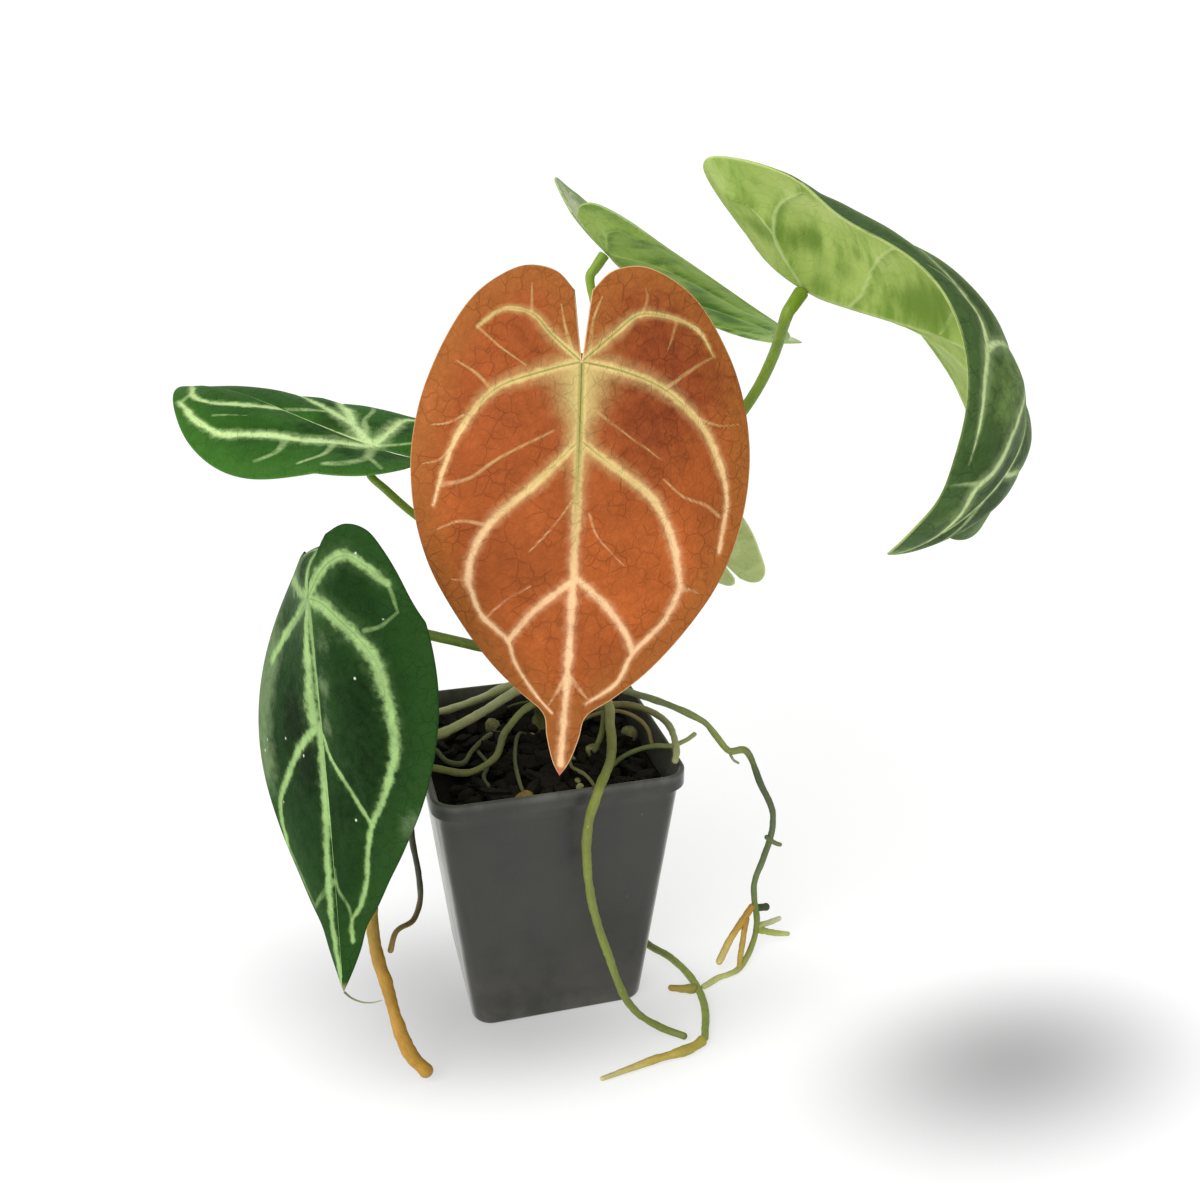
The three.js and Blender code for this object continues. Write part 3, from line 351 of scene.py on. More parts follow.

# Looks of each blade, as sRGB values. Upper side: ground near the seat and far from it, second tint, patches,
# tint near the margin, deeper tone with painted shade and paler tone with painted sheen for the patches, the
# latter also painted as a sheen where the blade is seen edge-on, vein near the seat and far from it, glow
# beside the midrib, core of the veins near the seat, margin line and tip. Underside: ground, darker tone that
# is also painted shading, and vein. band scales the pale bands, feather the unevenness of their edges, fine
# the thin veins, and the rest are strengths from 0 to 1.
BLADE_LOOKS = {
    "front": dict(
        ground="A9582C", far_ground="BE6430", second="984F27", patch="8A4521", edge="A2632F", deep_tone_and_shade="7A3820",
        pale_tone_and_sheen="BC6C38", vein="DEC582", far_vein="F8CC9C", glow="CCC07C", core="868840", rim="F0C896",
        tip="D8776A", under="A87A50", under_dark="7E4B2A", under_vein="CDAF80", band=0.72, feather=1.5,
        fine=0.9, halo=0.3, glow_share=0.75, core_share=0.85, net=0.28, cover=0.95, rim_share=0.8,
        sheen=0.2, specks=0, rough=0.6),
    "low": dict(
        ground="1C3C13", far_ground="1C3C13", second="153010", patch="122A0B", edge="284A1C", deep_tone_and_shade="0C2206",
        pale_tone_and_sheen="647A52", vein="9CBC78", far_vein="96B872", glow="4C7633", core="3C5E26", rim="24401C",
        tip="8E8A62", under="7A9A55", under_dark="4E7431", under_vein="A2BC78", band=0.9, feather=2.3,
        fine=1.1, halo=0.08, glow_share=0.2, core_share=0.4, net=0.1, cover=0.95, rim_share=0.5,
        sheen=0.45, specks=0.8, rough=0.62),
    "left": dict(
        ground="396923", far_ground="346220", second="2A541A", patch="234913", edge="3E6E27", deep_tone_and_shade="1E4410",
        pale_tone_and_sheen="588A36", vein="D6F2AA", far_vein="CDEA9E", glow="8DB65E", core="AFCE82", rim="5E8A3C",
        tip="8CAB5C", under="8CAD5B", under_dark="5C8738", under_vein="B0C881", band=0.85, feather=2.2,
        fine=1.1, halo=0.35, glow_share=0.15, core_share=0, net=0.1, cover=0.95, rim_share=0.4,
        sheen=0.3, specks=0, rough=0.5),
    "back": dict(
        ground="5E8C3A", far_ground="6E9A42", second="4F7D31", patch="44712A", edge="86A65A", deep_tone_and_shade="35691F",
        pale_tone_and_sheen="D2DDB0", vein="D2DDB0", far_vein="C9D6A0", glow="A4C077", core="86AB62", rim="B4C890",
        tip="CFD2A8", under="94B454", under_dark="44721F", under_vein="B4CC74", band=0.8, feather=1.8,
        fine=0.8, halo=0.3, glow_share=0.3, core_share=0.2, net=0.2, cover=0.85, rim_share=0.5,
        sheen=0.3, specks=0, rough=0.5),
    "high": dict(
        ground="34482A", far_ground="46602C", second="41583A", patch="243818", edge="4A6636", deep_tone_and_shade="2A4616",
        pale_tone_and_sheen="7C9A50", vein="D6E6B8", far_vein="CCE0A0", glow="8FAE64", core="AFC586", rim="C9D68C",
        tip="4E6A2E", under="B2C76C", under_dark="76983A", under_vein="D2E09A", band=0.52, feather=1.2,
        fine=0.8, halo=0.22, glow_share=0.2, core_share=0.15, net=0.35, cover=0.95, rim_share=0.55,
        sheen=0.6, specks=0, rough=0.5),
    "small": dict(
        ground="DCEA92", far_ground="DCEA92", second="D0E084", patch="C4D876", edge="E0EA9A", deep_tone_and_shade="98B45C",
        pale_tone_and_sheen="D2DEA0", vein="E0EAB8", far_vein="DCE6B0", glow="D0DC9C", core="BED08C", rim="D8E2A8",
        tip="D2DEA0", under="CEDC98", under_dark="A8C070", under_vein="DCE6B0", band=0.6, feather=1.6,
        fine=0.8, halo=0.2, glow_share=0.2, core_share=0.2, net=0.12, cover=0.6, rim_share=0.5,
        sheen=0.2, specks=0, rough=0.55),
}

# Stem, and petioles: the radius, then points from inside the stem outwards, before the last bend
# square to the blade
STEM_PATH = [(6, 16, 62), (7, 15, 78), (9, 12, 94), (10, 10, 106)]
STEM_RADIUS = 5.5
PETIOLE_APPROACH = (8, 5.5, 3.4, 0.6)
GENICULUM_SHARE = 0.1
PETIOLES = {
    "front": (1.7, [(10, 8, 99), (12, 3, 122), (13, -1, 150), (11, -7, 176)]),
    "low": (1.4, [(6, 11.5, 91), (-4, 7, 101), (-17.7, 1, 109), (-30.3, -5, 116), (-46, -13, 125)]),
    "left": (1.1, [(7.5, 14.5, 97), (-4, 14, 114), (-19, 12, 134), (-31.7, 11, 146), (-37.5, 12, 152)]),
    "back": (1.25, [(10.5, 13.5, 102), (15, 21, 130), (22, 30, 165), (27, 36, 192)]),
    "high": (1.5, [(12.5, 11, 101), (27, 14, 121), (46, 9, 149), (60, -2, 173.4), (63.5, -8, 186)]),
    "small": (1.2, [(12.5, 9.5, 93), (22, 5, 99), (37, 0, 110), (46, -3, 121)]),
}

# Roots: routes from inside the stem or the mix to the tip, with a radius at each end, all in
# millimetres. tints are the skin's colours in even steps along the strand. Branches have their own.
ROOTS = {
    "root_front": dict(
        tints=("BDBC92", "8B8C4C", "7A8238", "76803A", "6E7A34", "747C38"), radii=(1.5, 1),
        path=[(11.5, 9, 86), (19, 4, 88.3), (20.6, -3, 87), (19.5, -8, 84), (18, -15, 82),
              (14.8, -25, 81.4), (11.2, -33, 82.3), (7.8, -38.7, 81), (5, -39.5, 72.8),
              (4.3, -40, 63), (5, -40, 52), (7, -40, 41.5),
              (10, -40.5, 30.5), (13, -41, 20), (16.5, -41.5, 12), (21, -42, 6.5), (27, -42.8, 2.2),
              (32, -46.3, 1.4)]),
    "root_right": dict(
        tints=("A2A884", "96A07C", "8A9662", "8E9A50", "4A5638", "5E6A4A", "66744A", "66762E", "A3A858",
               "C4C684"),
        radii=(1.05, 0.9),
        path=[(11.5, 12.5, 89), (20, 12, 88), (29.4, 9, 85), (38.6, 3, 83), (45, -1, 80.7),
              (50, -4, 78), (53, -7, 74), (56, -9, 70.5), (60.5, -10, 70.6), (65, -12, 60),
              (68.8, -13, 51), (69.3, -13, 43.5), (67, -13, 34), (64.6, -13, 26), (64.8, -13, 19),
              (66, -13, 11.5), (65, -14, 5.5), (60.7, -18.5, 2), (56, -22.4, 1.2), (49.4, -24.2, 1.2),
              (44.6, -26.5, 1.2), (43.2, -27.2, 1.3)],
        branches=[
            dict(tints=("5A6644", "6F7A50"), radii=(0.8, 0.6),
                 path=[(67, -13.2, 42), (70, -14, 39.5), (72, -15, 39)]),
            dict(tints=("8A9662", "9AA08A"), radii=(0.5, 0.35),
                 path=[(55.8, -9, 70.5), (57.2, -9.4, 67.6), (59, -9.6, 66.2)]),
            dict(tints=("2F3B1C", "3C4A22"), radii=(1, 1.3),
                 path=[(65, -13, 16), (68, -12, 15), (70.5, -11.5, 14.5)]),
            dict(tints=("8C9A3C", "C3C77A"), radii=(1.3, 0.7),
                 path=[(66, -13, 8), (72, -12.5, 5), (78, -12, 3)]),
            dict(tints=("A5A85C", "E2DFB6"), radii=(1.1, 0.7),
                 path=[(65.5, -13, 9), (71, -11, 8), (76, -9, 7.5)]),
            dict(tints=("A87A2C", "C09A42", "D3C27C"), radii=(1, 1.2),
                 path=[(64.6, -13, 17.5), (60, -15, 13), (56, -17, 9.5), (50.4, -21, 3.5)]),
            dict(tints=("A87A2C", "B9A04A"), radii=(1, 0.8),
                 path=[(61.8, -14.5, 14.8), (60, -17, 8), (58, -20, 3), (57, -22, 1.4)]),
        ]),
    "root_back": dict(
        tints=("8C9466", "7F8B50", "808C50", "7C8B4C", "8E9A60", "8C9A50", "7C8A3A"), radii=(1.2, 1.1),
        path=[(9, 16.5, 86), (11, 25, 86), (14, 35, 82.2), (17, 39.5, 74), (22, 38, 45), (28, 34, 18),
              (32, 25, 4), (32.3, 12, 1.5), (33.2, -2.2, 1.3), (38.4, -11.5, 1.3), (41.3, -21, 1.3),
              (41.8, -28, 1.3), (41.3, -34.6, 1.3), (38.8, -42.5, 1.3), (36.2, -49, 1.5)],
        branches=[
            dict(tints=("8C8A3C", "9A7A34"), radii=(1.5, 0.9),
                 path=[(41.6, -27.6, 1.7), (37.5, -26.6, 1.6), (33.3, -24.5, 1.3)]),
            dict(tints=("9A8E3C", "B09A48", "C8BC80"), radii=(1.6, 0.6),
                 path=[(36.5, -48.5, 1.7), (31, -51.3, 1.7), (21, -52.3, 1.4), (11.3, -54, 1.1),
                       (3.9, -55.1, 0.8)]),
        ]),
    "root_left_thick": dict(
        tints=("CCCBA0", "C0C18C", "9C9C56", "A08A3C", "AC7E2E", "AC802E"), radii=(1.3, 1.9),
        path=[(5, 14, 89), (-2, 14, 87.4), (-15, 11.5, 82), (-27, 4, 81.2), (-34.8, -1.5, 82.6),
              (-42, -6, 77), (-48.5, -12, 58), (-51.8, -18, 38), (-51.6, -23, 30), (-49.8, -29, 23),
              (-48, -36, 15), (-45.6, -40.5, 8.5), (-40.7, -43.2, 2.2)]),
    "root_left_thin": dict(
        tints=("A8AC74", "747848", "8E9058", "4A4E36", "4E5140", "A08448"), radii=(1.1, 0.8),
        path=[(4.5, 12, 84), (-2, 9.5, 82.6), (-8.7, 3.6, 79.5), (-14.8, -11, 79.3),
              (-23.6, -17.5, 79.6), (-31.5, -16, 81.3), (-36.8, -12, 80.8), (-38.8, -7, 68),
              (-38.2, -4, 53.4), (-37.2, -6, 41.6), (-37.4, -8, 34), (-40, -12, 30.8),
              (-45.6, -17.6, 31.8), (-48, -21.6, 28)]),
    "root_surface_left": dict(
        tints=("B4B98A", "C0C394", "D2D3AC"), radii=(1.5, 0.9),
        path=[(4.5, 17, 87), (-4, 18.5, 86.5), (-14, 21, 82), (-25, 20, 80), (-32.5, 17.5, 81.8),
              (-35.5, 15, 81.6)]),
    "root_surface_rim": dict(
        tints=("9A9462", "A89F6C", "8C9060", "A4A56E"), radii=(1.15, 0.9),
        path=[(10.5, 9.5, 80), (17, 10.5, 80), (27.5, 8.7, 81), (33.3, 1, 82.2), (35.8, -8.2, 83),
              (35, -19, 83.8), (33.2, -27, 83.2), (31.5, -30.5, 81.6)]),
    "root_surface_right": dict(
        tints=("5E6C38", "75844C", "98A268"), radii=(0.75, 0.65),
        path=[(14, -17.5, 71), (17.5, -17.2, 75.5), (23.5, -15, 77.8), (29.5, -16.8, 80),
              (33.8, -20.2, 81.3), (38.5, -19.2, 81.8), (42.3, -17, 82.4)]),
}

# Thin rootlets that loop over the mix inside the pot, with one radius each
ROOTLETS = [
    (0.75, "6E7350", [(-31, 8, 73), (-29.3, 4.1, 76), (-26.9, -4.9, 76.6), (-23.2, -6.5, 76.4),
                      (-18.8, 1.3, 76), (-11.4, 11.4, 75), (-6, 16, 72)]),
    (0.6, "5C6244", [(-15, 6, 72), (-17.3, 1.6, 75), (-16.2, -8.3, 76), (-18.4, -14.6, 75.4),
                     (-15.7, -24.1, 74.6), (-13, -27, 71)]),
    (0.6, "666A4A", [(0, 12, 72), (-3.5, 8.6, 75.5), (-7.9, -5.8, 76.2), (-9.3, -19.8, 75.2),
                     (-8, -24, 71)]),
    (0.55, "7C7A50", [(12, 4, 72), (10.5, -2, 75.5), (6.5, -14, 75.6), (9.5, -21, 75.4), (12, -24.5, 71.5)]),
    (0.7, "8A8456", [(9.5, -30, 72.4), (9, -31.4, 75.4), (10.5, -32.2, 76.6), (13, -31.5, 76.2),
                     (15, -29, 74), (16, -27, 71.5)]),
    (0.6, "A08E62", [(14.5, 4, 80), (18, 2, 82.4), (23.5, 1.4, 83), (28, -1.2, 82.2), (31, -6, 80.4),
                     (32, -9, 76)]),
    (0.85, "7C7C4C", [(13.4, -13, 78.2), (16.2, -9.6, 81), (18.2, -5.4, 83.4), (19.4, -2.4, 85.8)]),
    (0.5, "59603E", [(24, 20, 72), (20, 24, 76), (10, 26, 76.4), (-2, 27, 75.6), (-12, 25, 72)]),
]

# Dry thread that hangs from the low blade's tip
THREAD_RADIUS = 0.28
THREAD_PATH = [(0, 0, 0), (1.8, -0.3, -1.7), (4.6, -0.9, -2.5), (7.6, -1.6, -2), (9.8, -2.2, -0.8)]

# Soft shades on the floor, as ellipses: the middle, the two reaches, the turn of the first reach from
# the frame's x axis in degrees, and the strength
FLOOR_SHADES = [(-30, -10, 93, 55, -27, 0.38), (10, -32, 103, 33, -1, 0.23), (117, -78, 81, 47, 5, 0.56)]

# Camera: turned round the target, which it looks down on
VIEW_AZIMUTH = -15
VIEW_DOWN = 21.8
VIEW_DISTANCE = 340
VIEW_TARGET = (17.4, -4.7, 121)
SENSOR_WIDTH = 36

# Lights and floor: places and the near and far clip in metres, and the sun's angle in degrees
KEY_PLACE = (-0.6, -0.6, 0.9)
KEY_ANGLE = 50
SIDE_PLACE = (-0.7, -0.1, 0.3)
SIDE_SIZE = 0.5
CLIP = (0.01, 20)
FLOOR_DROP = 0.05
FLOOR_POINTS = 9
SURROUND_SEEN = 1.05

# Plain tones that the materials mix in, as linear colours
BLACK = (0.0, 0.0, 0.0, 1.0)
WHITE = (1.0, 1.0, 1.0, 1.0)
FURROW_SHADE_TONE = (0.05, 0.06, 0.01, 1.0)
SPECK_TONE = (0.7, 0.75, 0.6, 1.0)
UNDER_DEEP_AND_SHADE_TONE = (0.02, 0.06, 0.0, 1.0)
STREAK_TONE = (0.9, 0.95, 0.75, 1.0)
SOIL_TONE = (0.02, 0.02, 0.01, 1.0)
FLECK_TONE = (0.75, 0.75, 0.55, 1.0)
TOOTH_TONE = (0.3, 0.3, 0.3, 1.0)


def srgb(text):
    """Linear colour with full opacity from a six-digit sRGB value."""
    shares = np.array([int(text[place:place + 2], 16) for place in (0, 2, 4)]) / 255
    linear = np.where(shares <= 0.04045, shares / 12.92, ((shares + 0.055) / 1.055) ** 2.4)
    return (*(float(share) for share in linear), 1.0)


def unit(vectors):
    return vectors / np.maximum(np.linalg.norm(vectors, axis=-1, keepdims=True), 1e-12)


def ease(low, high, values):
    """Smooth step: 0 at low, 1 at high, level at both ends."""
    share = np.clip((values - low) / (high - low), 0, 1)
    return share * share * (3 - 2 * share)


def turned(vector, axis, angle):
    """Rodrigues' rotation: the part along the axis stays, and the rest turns by the angle."""
    along = axis * np.dot(axis, vector)
    return vector * np.cos(angle) + np.cross(axis, vector) * np.sin(angle) + along * (1 - np.cos(angle))


def smooth_curve(points, per_span=20):
    """Centripetal Catmull-Rom curve: knots a square root of the spacing apart, and on each span three
    levels of straight blends between the four points round it."""
    points = np.asarray(points, float)
    spans = len(points) - 1
    knots = np.concatenate([[0], np.cumsum(np.linalg.norm(np.diff(points, axis=0), axis=1) ** 0.5)])
    padded = np.vstack([2 * points[0] - points[1], points, 2 * points[-1] - points[-2]])
    times = np.concatenate([[2 * knots[0] - knots[1]], knots, [2 * knots[-1] - knots[-2]]])
    p = [padded[shift:shift + spans, None] for shift in range(4)]
    t = [times[shift:shift + spans, None, None] for shift in range(4)]
    now = t[1] + (t[2] - t[1]) * np.linspace(0, 1, per_span, endpoint=False)[None, :, None]

    def blend(first, second, start, end):
        return (first * (end - now) + second * (now - start)) / (end - start)

    low = [blend(p[k], p[k + 1], t[k], t[k + 1]) for k in range(3)]
    middle = [blend(low[k], low[k + 1], t[k], t[k + 2]) for k in range(2)]
    curve = blend(middle[0], middle[1], t[1], t[2]).reshape(-1, points.shape[1])
    return np.vstack([curve, points[-1]])


def along_curve(curve, shares):
    """Points of a dense curve at the given shares of its length."""
    lengths = np.concatenate([[0], np.cumsum(np.linalg.norm(np.diff(curve, axis=0), axis=1))])
    wanted = np.asarray(shares) * lengths[-1]
    return np.stack([np.interp(wanted, lengths, curve[:, axis]) for axis in range(curve.shape[1])], -1)


def ripple(first, second, seed, waves=7):
    """Smooth repeatable unevenness from -1 to 1: a mean of sine waves in two parameters, each with its
    own direction, pitch and start."""
    random = np.random.default_rng(seed)
    angles = random.uniform(0, 2 * math.pi, waves)
    pitch = random.uniform(0.6, 1.7, waves)
    starts = random.uniform(0, 2 * math.pi, waves)
    slope = np.cos(angles) * pitch
    cross = np.sin(angles) * pitch
    wave = np.sin(first[..., None] * slope + second[..., None] * cross + starts)
    return wave.mean(-1) * 1.6


def grid_quads(rows, columns, first=0, flip=False):
    """Quads between the points of a grid stored row by row."""
    row, column = np.meshgrid(np.arange(rows - 1), np.arange(columns - 1), indexing="ij")
    corner = (first + row * columns + column).ravel()
    quads = np.stack([corner, corner + columns, corner + columns + 1, corner + 1], -1)
    return quads[:, ::-1] if flip else quads


def make_piece(name, vertices, quads, materials, uv=None, values=None, slots=None, sharp=None):
    """Mesh object at the origin from millimetre vertices and quads, with doubles merged.

    values holds numbers for each vertex, slots the material of each quad, and sharp the angle in
    degrees past which an edge stays sharp."""
    mesh = bpy.data.meshes.new(name)
    mesh.vertices.add(len(vertices))
    mesh.vertices.foreach_set("co", (np.asarray(vertices) * MM).astype(np.float32).ravel())
    mesh.loops.add(quads.size)
    mesh.loops.foreach_set("vertex_index", quads.astype(np.int32).ravel())
    mesh.polygons.add(len(quads))
    mesh.polygons.foreach_set("loop_start", np.arange(0, quads.size, 4, dtype=np.int32))
    if slots is not None:
        mesh.polygons.foreach_set("material_index", slots.astype(np.int32))
    mesh.update(calc_edges=True)
    if uv is not None:
        layer = mesh.uv_layers.new(name="surface")
        layer.data.foreach_set("uv", uv[quads.ravel()].astype(np.float32).ravel())
    for key, numbers in (values or {}).items():
        attribute = mesh.attributes.new(key, "FLOAT", "POINT")
        attribute.data.foreach_set("value", numbers.astype(np.float32).ravel())
    for material in materials:
        mesh.materials.append(material)
    work = bmesh.new()
    work.from_mesh(mesh)
    bmesh.ops.remove_doubles(work, verts=work.verts, dist=0.002 * MM)
    work.to_mesh(mesh)
    work.free()
    mesh.shade_smooth()
    if sharp is not None:
        mesh.set_sharp_from_angle(angle=math.radians(sharp))
    piece = bpy.data.objects.new(name, mesh)
    bpy.context.scene.collection.objects.link(piece)
    return piece


def ride(piece, replaced=()):
    """Puts a piece on the part's body and hides the imported nodes that it stands for."""
    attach(piece, BODY)
    if replaced:
        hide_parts(*replaced)


def tube(path, radius_at, sides, rings, uneven=0, seed=0, flat_end=1):
    """Rounded tube: circles of the given radius square to a smooth path, carried along it without
    turning about it, and closed by a half round at both ends. The unevenness is a share of the radius,
    and flat_end shortens the last half round."""
    curve = smooth_curve(path)
    length = np.linalg.norm(np.diff(curve, axis=0), axis=1).sum()
    cap = np.linspace(0, math.pi / 2, 6)
    start_radius, end_radius = radius_at(0), radius_at(1)
    starts = start_radius * (1 - np.cos(cap)) / length
    ends = 1 - flat_end * end_radius * (1 - np.cos(cap[::-1])) / length
    shares = np.concatenate([starts, np.linspace(starts[-1], ends[0], rings + 2)[1:-1], ends])
    scale = np.concatenate([np.sin(cap), np.ones(rings), np.sin(cap[::-1])])
    centres = along_curve(curve, shares)
    reach = 1e-3
    ahead = along_curve(curve, np.clip(shares + reach, 0, 1))
    behind = along_curve(curve, np.clip(shares - reach, 0, 1))
    tangents = unit(ahead - behind)
    normals = [unit(np.cross(tangents[0], (0.36, 0.48, 0.8)))]
    for tangent in tangents[1:]:
        normals.append(unit(normals[-1] - tangent * np.dot(normals[-1], tangent)))
    normals = np.array(normals)
    binormals = np.cross(tangents, normals)
    angles = np.linspace(0, 2 * math.pi, sides + 1)
    around, down = np.meshgrid(angles, shares * length)
    radius = np.array([radius_at(share) for share in shares]) * scale
    bumps = 1 + uneven * ripple(down * 0.55, np.cos(around) * 1.4, seed)
    bumps += 0.5 * uneven * ripple(down * 1.9, np.sin(around) * 2.2, seed + 1)
    swell = (radius[:, None] * bumps)[..., None]
    ring = normals[:, None] * np.cos(around)[..., None] + binormals[:, None] * np.sin(around)[..., None]
    points = centres[:, None] + ring * swell
    uv = np.stack([around / (2 * math.pi), down / 10], -1)
    share_grid = np.repeat(shares[:, None], sides + 1, 1)
    return points, uv, share_grid


def join_grids(grids, flip=True):
    """Vertices, quads, UVs and shares of several tubes as one mesh."""
    vertices, uvs, shares, quads = [], [], [], []
    first = 0
    for points, uv, share in grids:
        rows, columns = points.shape[:2]
        vertices.append(points.reshape(-1, 3))
        uvs.append(uv.reshape(-1, 2))
        shares.append(share.ravel())
        quads.append(grid_quads(rows, columns, first, flip))
        first += rows * columns
    return np.vstack(vertices), np.vstack(quads), np.vstack(uvs), np.concatenate(shares)


class Nodes:
    """Adds nodes to one tree and joins them up."""

    def __init__(self, tree):
        self.tree = tree

    def put(self, socket, value):
        if isinstance(value, bpy.types.NodeSocket):
            self.tree.links.new(value, socket)
        else:
            socket.default_value = value

    def add(self, kind, inputs=None, **settings):
        node = self.tree.nodes.new(kind)
        for key, value in settings.items():
            setattr(node, key, value)
        for socket, value in (inputs or {}).items():
            self.put(node.inputs[socket], value)
        return node

    def math(self, operation, first, second=0.0):
        return self.add("ShaderNodeMath", {0: first, 1: second}, operation=operation).outputs[0]

    def plus(self, first, second):
        return self.math("ADD", first, second)

    def minus(self, first, second):
        return self.math("SUBTRACT", first, second)

    def times(self, first, second):
        return self.math("MULTIPLY", first, second)

    def mix(self, share, first, second, blend="MIX"):
        inputs = {0: share, 6: first, 7: second}
        return self.add("ShaderNodeMix", inputs, data_type="RGBA", blend_type=blend).outputs[2]

    def step(self, value, low, high, start=0.0, end=1.0):
        """Smooth step from start at low to end at high."""
        inputs = {"Value": value, "From Min": low, "From Max": high, "To Min": start, "To Max": end}
        return self.add("ShaderNodeMapRange", inputs, interpolation_type="SMOOTHSTEP").outputs[0]

    def noise(self, vector, scale, detail=3.0, roughness=0.55):
        inputs = {"Vector": vector, "Scale": scale, "Detail": detail, "Roughness": roughness}
        return self.add("ShaderNodeTexNoise", inputs).outputs[0]

    def axis(self, vector, number):
        """One coordinate of a vector."""
        return self.add("ShaderNodeSeparateXYZ", {0: vector}).outputs[number]

    def stretched(self, vector, scale, turn=0):
        """A vector turned about its third axis and scaled on each, which draws a pattern out."""
        inputs = {"Vector": vector, "Rotation": (0, 0, turn), "Scale": scale}
        return self.add("ShaderNodeMapping", inputs).outputs[0]

    def facing(self):
        """0 where the surface is seen square on and 1 where it is seen edge-on."""
        return self.add("ShaderNodeLayerWeight", {"Blend": 0.5}).outputs["Facing"]

    def value(self, name):
        """A number stored for each vertex of the piece."""
        return self.add("ShaderNodeAttribute", attribute_name=name).outputs["Fac"]

    def surface(self):
        """The piece's own UV map."""
        return self.add("ShaderNodeUVMap", uv_map="surface").outputs[0]

    def place(self):
        """Place in the part's frame, in metres."""
        return self.add("ShaderNodeTexCoord").outputs["Object"]

    def effect(self, group, inputs):
        """A shared effect, placed with its own values."""
        node = self.add("ShaderNodeGroup", node_tree=group)
        for socket, value in inputs.items():
            self.put(node.inputs[socket], value)
        return node.outputs[0]

    def bump(self, height, distance, strength):
        inputs = {"Height": height, "Distance": distance * MM, "Strength": strength}
        return self.add("ShaderNodeBump", inputs).outputs[0]

    def finish(self, shader, tone, roughness, normal):
        """Joins the colour, the roughness and the normal to the shader."""
        for socket, value in (("Base Color", tone), ("Roughness", roughness), ("Normal", normal)):
            self.put(shader.inputs[socket], value)


def effect_group(name, sockets, build):
    """Node group with number inputs, one vector input and one mask output, made once."""
    if name in bpy.data.node_groups:
        return bpy.data.node_groups[name]
    tree = bpy.data.node_groups.new(name, "ShaderNodeTree")
    tree.interface.new_socket(name="Vector", in_out="INPUT", socket_type="NodeSocketVector")
    for socket in sockets:
        tree.interface.new_socket(name=socket, in_out="INPUT", socket_type="NodeSocketFloat")
    tree.interface.new_socket(name="Mask", in_out="OUTPUT", socket_type="NodeSocketFloat")
    nodes = Nodes(tree)
    source = nodes.add("NodeGroupInput").outputs
    nodes.add("NodeGroupOutput", {0: build(nodes, source)})
    return tree


def soft_patches(nodes, vector, scale):
    """Soft patches: two sizes of noise, spread to the full range."""
    def build(nodes, source):
        large = nodes.noise(source["Vector"], source["Scale"], 4.0)
        small = nodes.noise(source["Vector"], nodes.times(source["Scale"], 3.7), 3.0)
        both = nodes.plus(nodes.times(large, 0.7), nodes.times(small, 0.3))
        return nodes.step(both, 0.36, 0.64)

    group = effect_group("soft_patches", ["Scale"], build)
    return nodes.effect(group, {"Vector": vector, "Scale": scale})


def cell_lines(nodes, vector, scale, width):
    """Fine net: lines along the borders between cells."""
    def build(nodes, source):
        bend = nodes.times(nodes.noise(source["Vector"], source["Scale"], 2.0), 0.035)
        wander = nodes.add("ShaderNodeVectorMath", {0: source["Vector"], 1: bend}, operation="ADD").outputs[0]
        inputs = {"Vector": wander, "Scale": source["Scale"]}
        cells = nodes.add("ShaderNodeTexVoronoi", inputs, feature="DISTANCE_TO_EDGE").outputs["Distance"]
        return nodes.step(cells, 0.0, source["Width"], 1.0, 0.0)

    group = effect_group("cell_lines", ["Scale", "Width"], build)
    return nodes.effect(group, {"Vector": vector, "Scale": scale, "Width": width})


def flecks(nodes, vector, scale, share):
    """Scattered flecks: the middles of those cells whose random value is under the share."""
    def build(nodes, source):
        inputs = {"Vector": source["Vector"], "Scale": source["Scale"]}
        cells = nodes.add("ShaderNodeTexVoronoi", inputs, feature="F1")
        spot = nodes.step(cells.outputs["Distance"], 0.1, 0.3, 1.0, 0.0)
        value = nodes.add("ShaderNodeSeparateColor", {0: cells.outputs["Color"]}).outputs[0]
        return nodes.times(spot, nodes.math("LESS_THAN", value, source["Share"]))

    group = effect_group("flecks", ["Scale", "Share"], build)
    return nodes.effect(group, {"Vector": vector, "Scale": scale, "Share": share})


def vein_band(nodes, vector, distance, reach, feather):
    """Feathered band: full on a line and gone at the reach, with the edge made uneven by noise."""
    def build(nodes, source):
        fine = nodes.minus(nodes.noise(source["Vector"], 46.0, 3.0, 0.6), 0.5)
        broad = nodes.minus(nodes.noise(source["Vector"], 15.0, 2.0), 0.5)
        uneven = nodes.plus(fine, nodes.times(broad, 0.8))
        moved = nodes.plus(source["Distance"], nodes.times(uneven, source["Feather"]))
        return nodes.step(moved, nodes.times(source["Reach"], 0.15), source["Reach"], 1.0, 0.0)

    group = effect_group("feathered_band", ["Distance", "Reach", "Feather"], build)
    return nodes.effect(group, {"Vector": vector, "Distance": distance, "Reach": reach, "Feather": feather})


def new_material(name, **constants):
    """Material with a Principled shader whose listed sockets hold fixed values."""
    material = bpy.data.materials.new(name)
    material.use_nodes = True
    tree = material.node_tree
    shader = next(node for node in tree.nodes if node.type == "BSDF_PRINCIPLED")
    for socket, value in constants.items():
        shader.inputs[socket.replace("_", " ")].default_value = value
    return material, Nodes(tree), shader


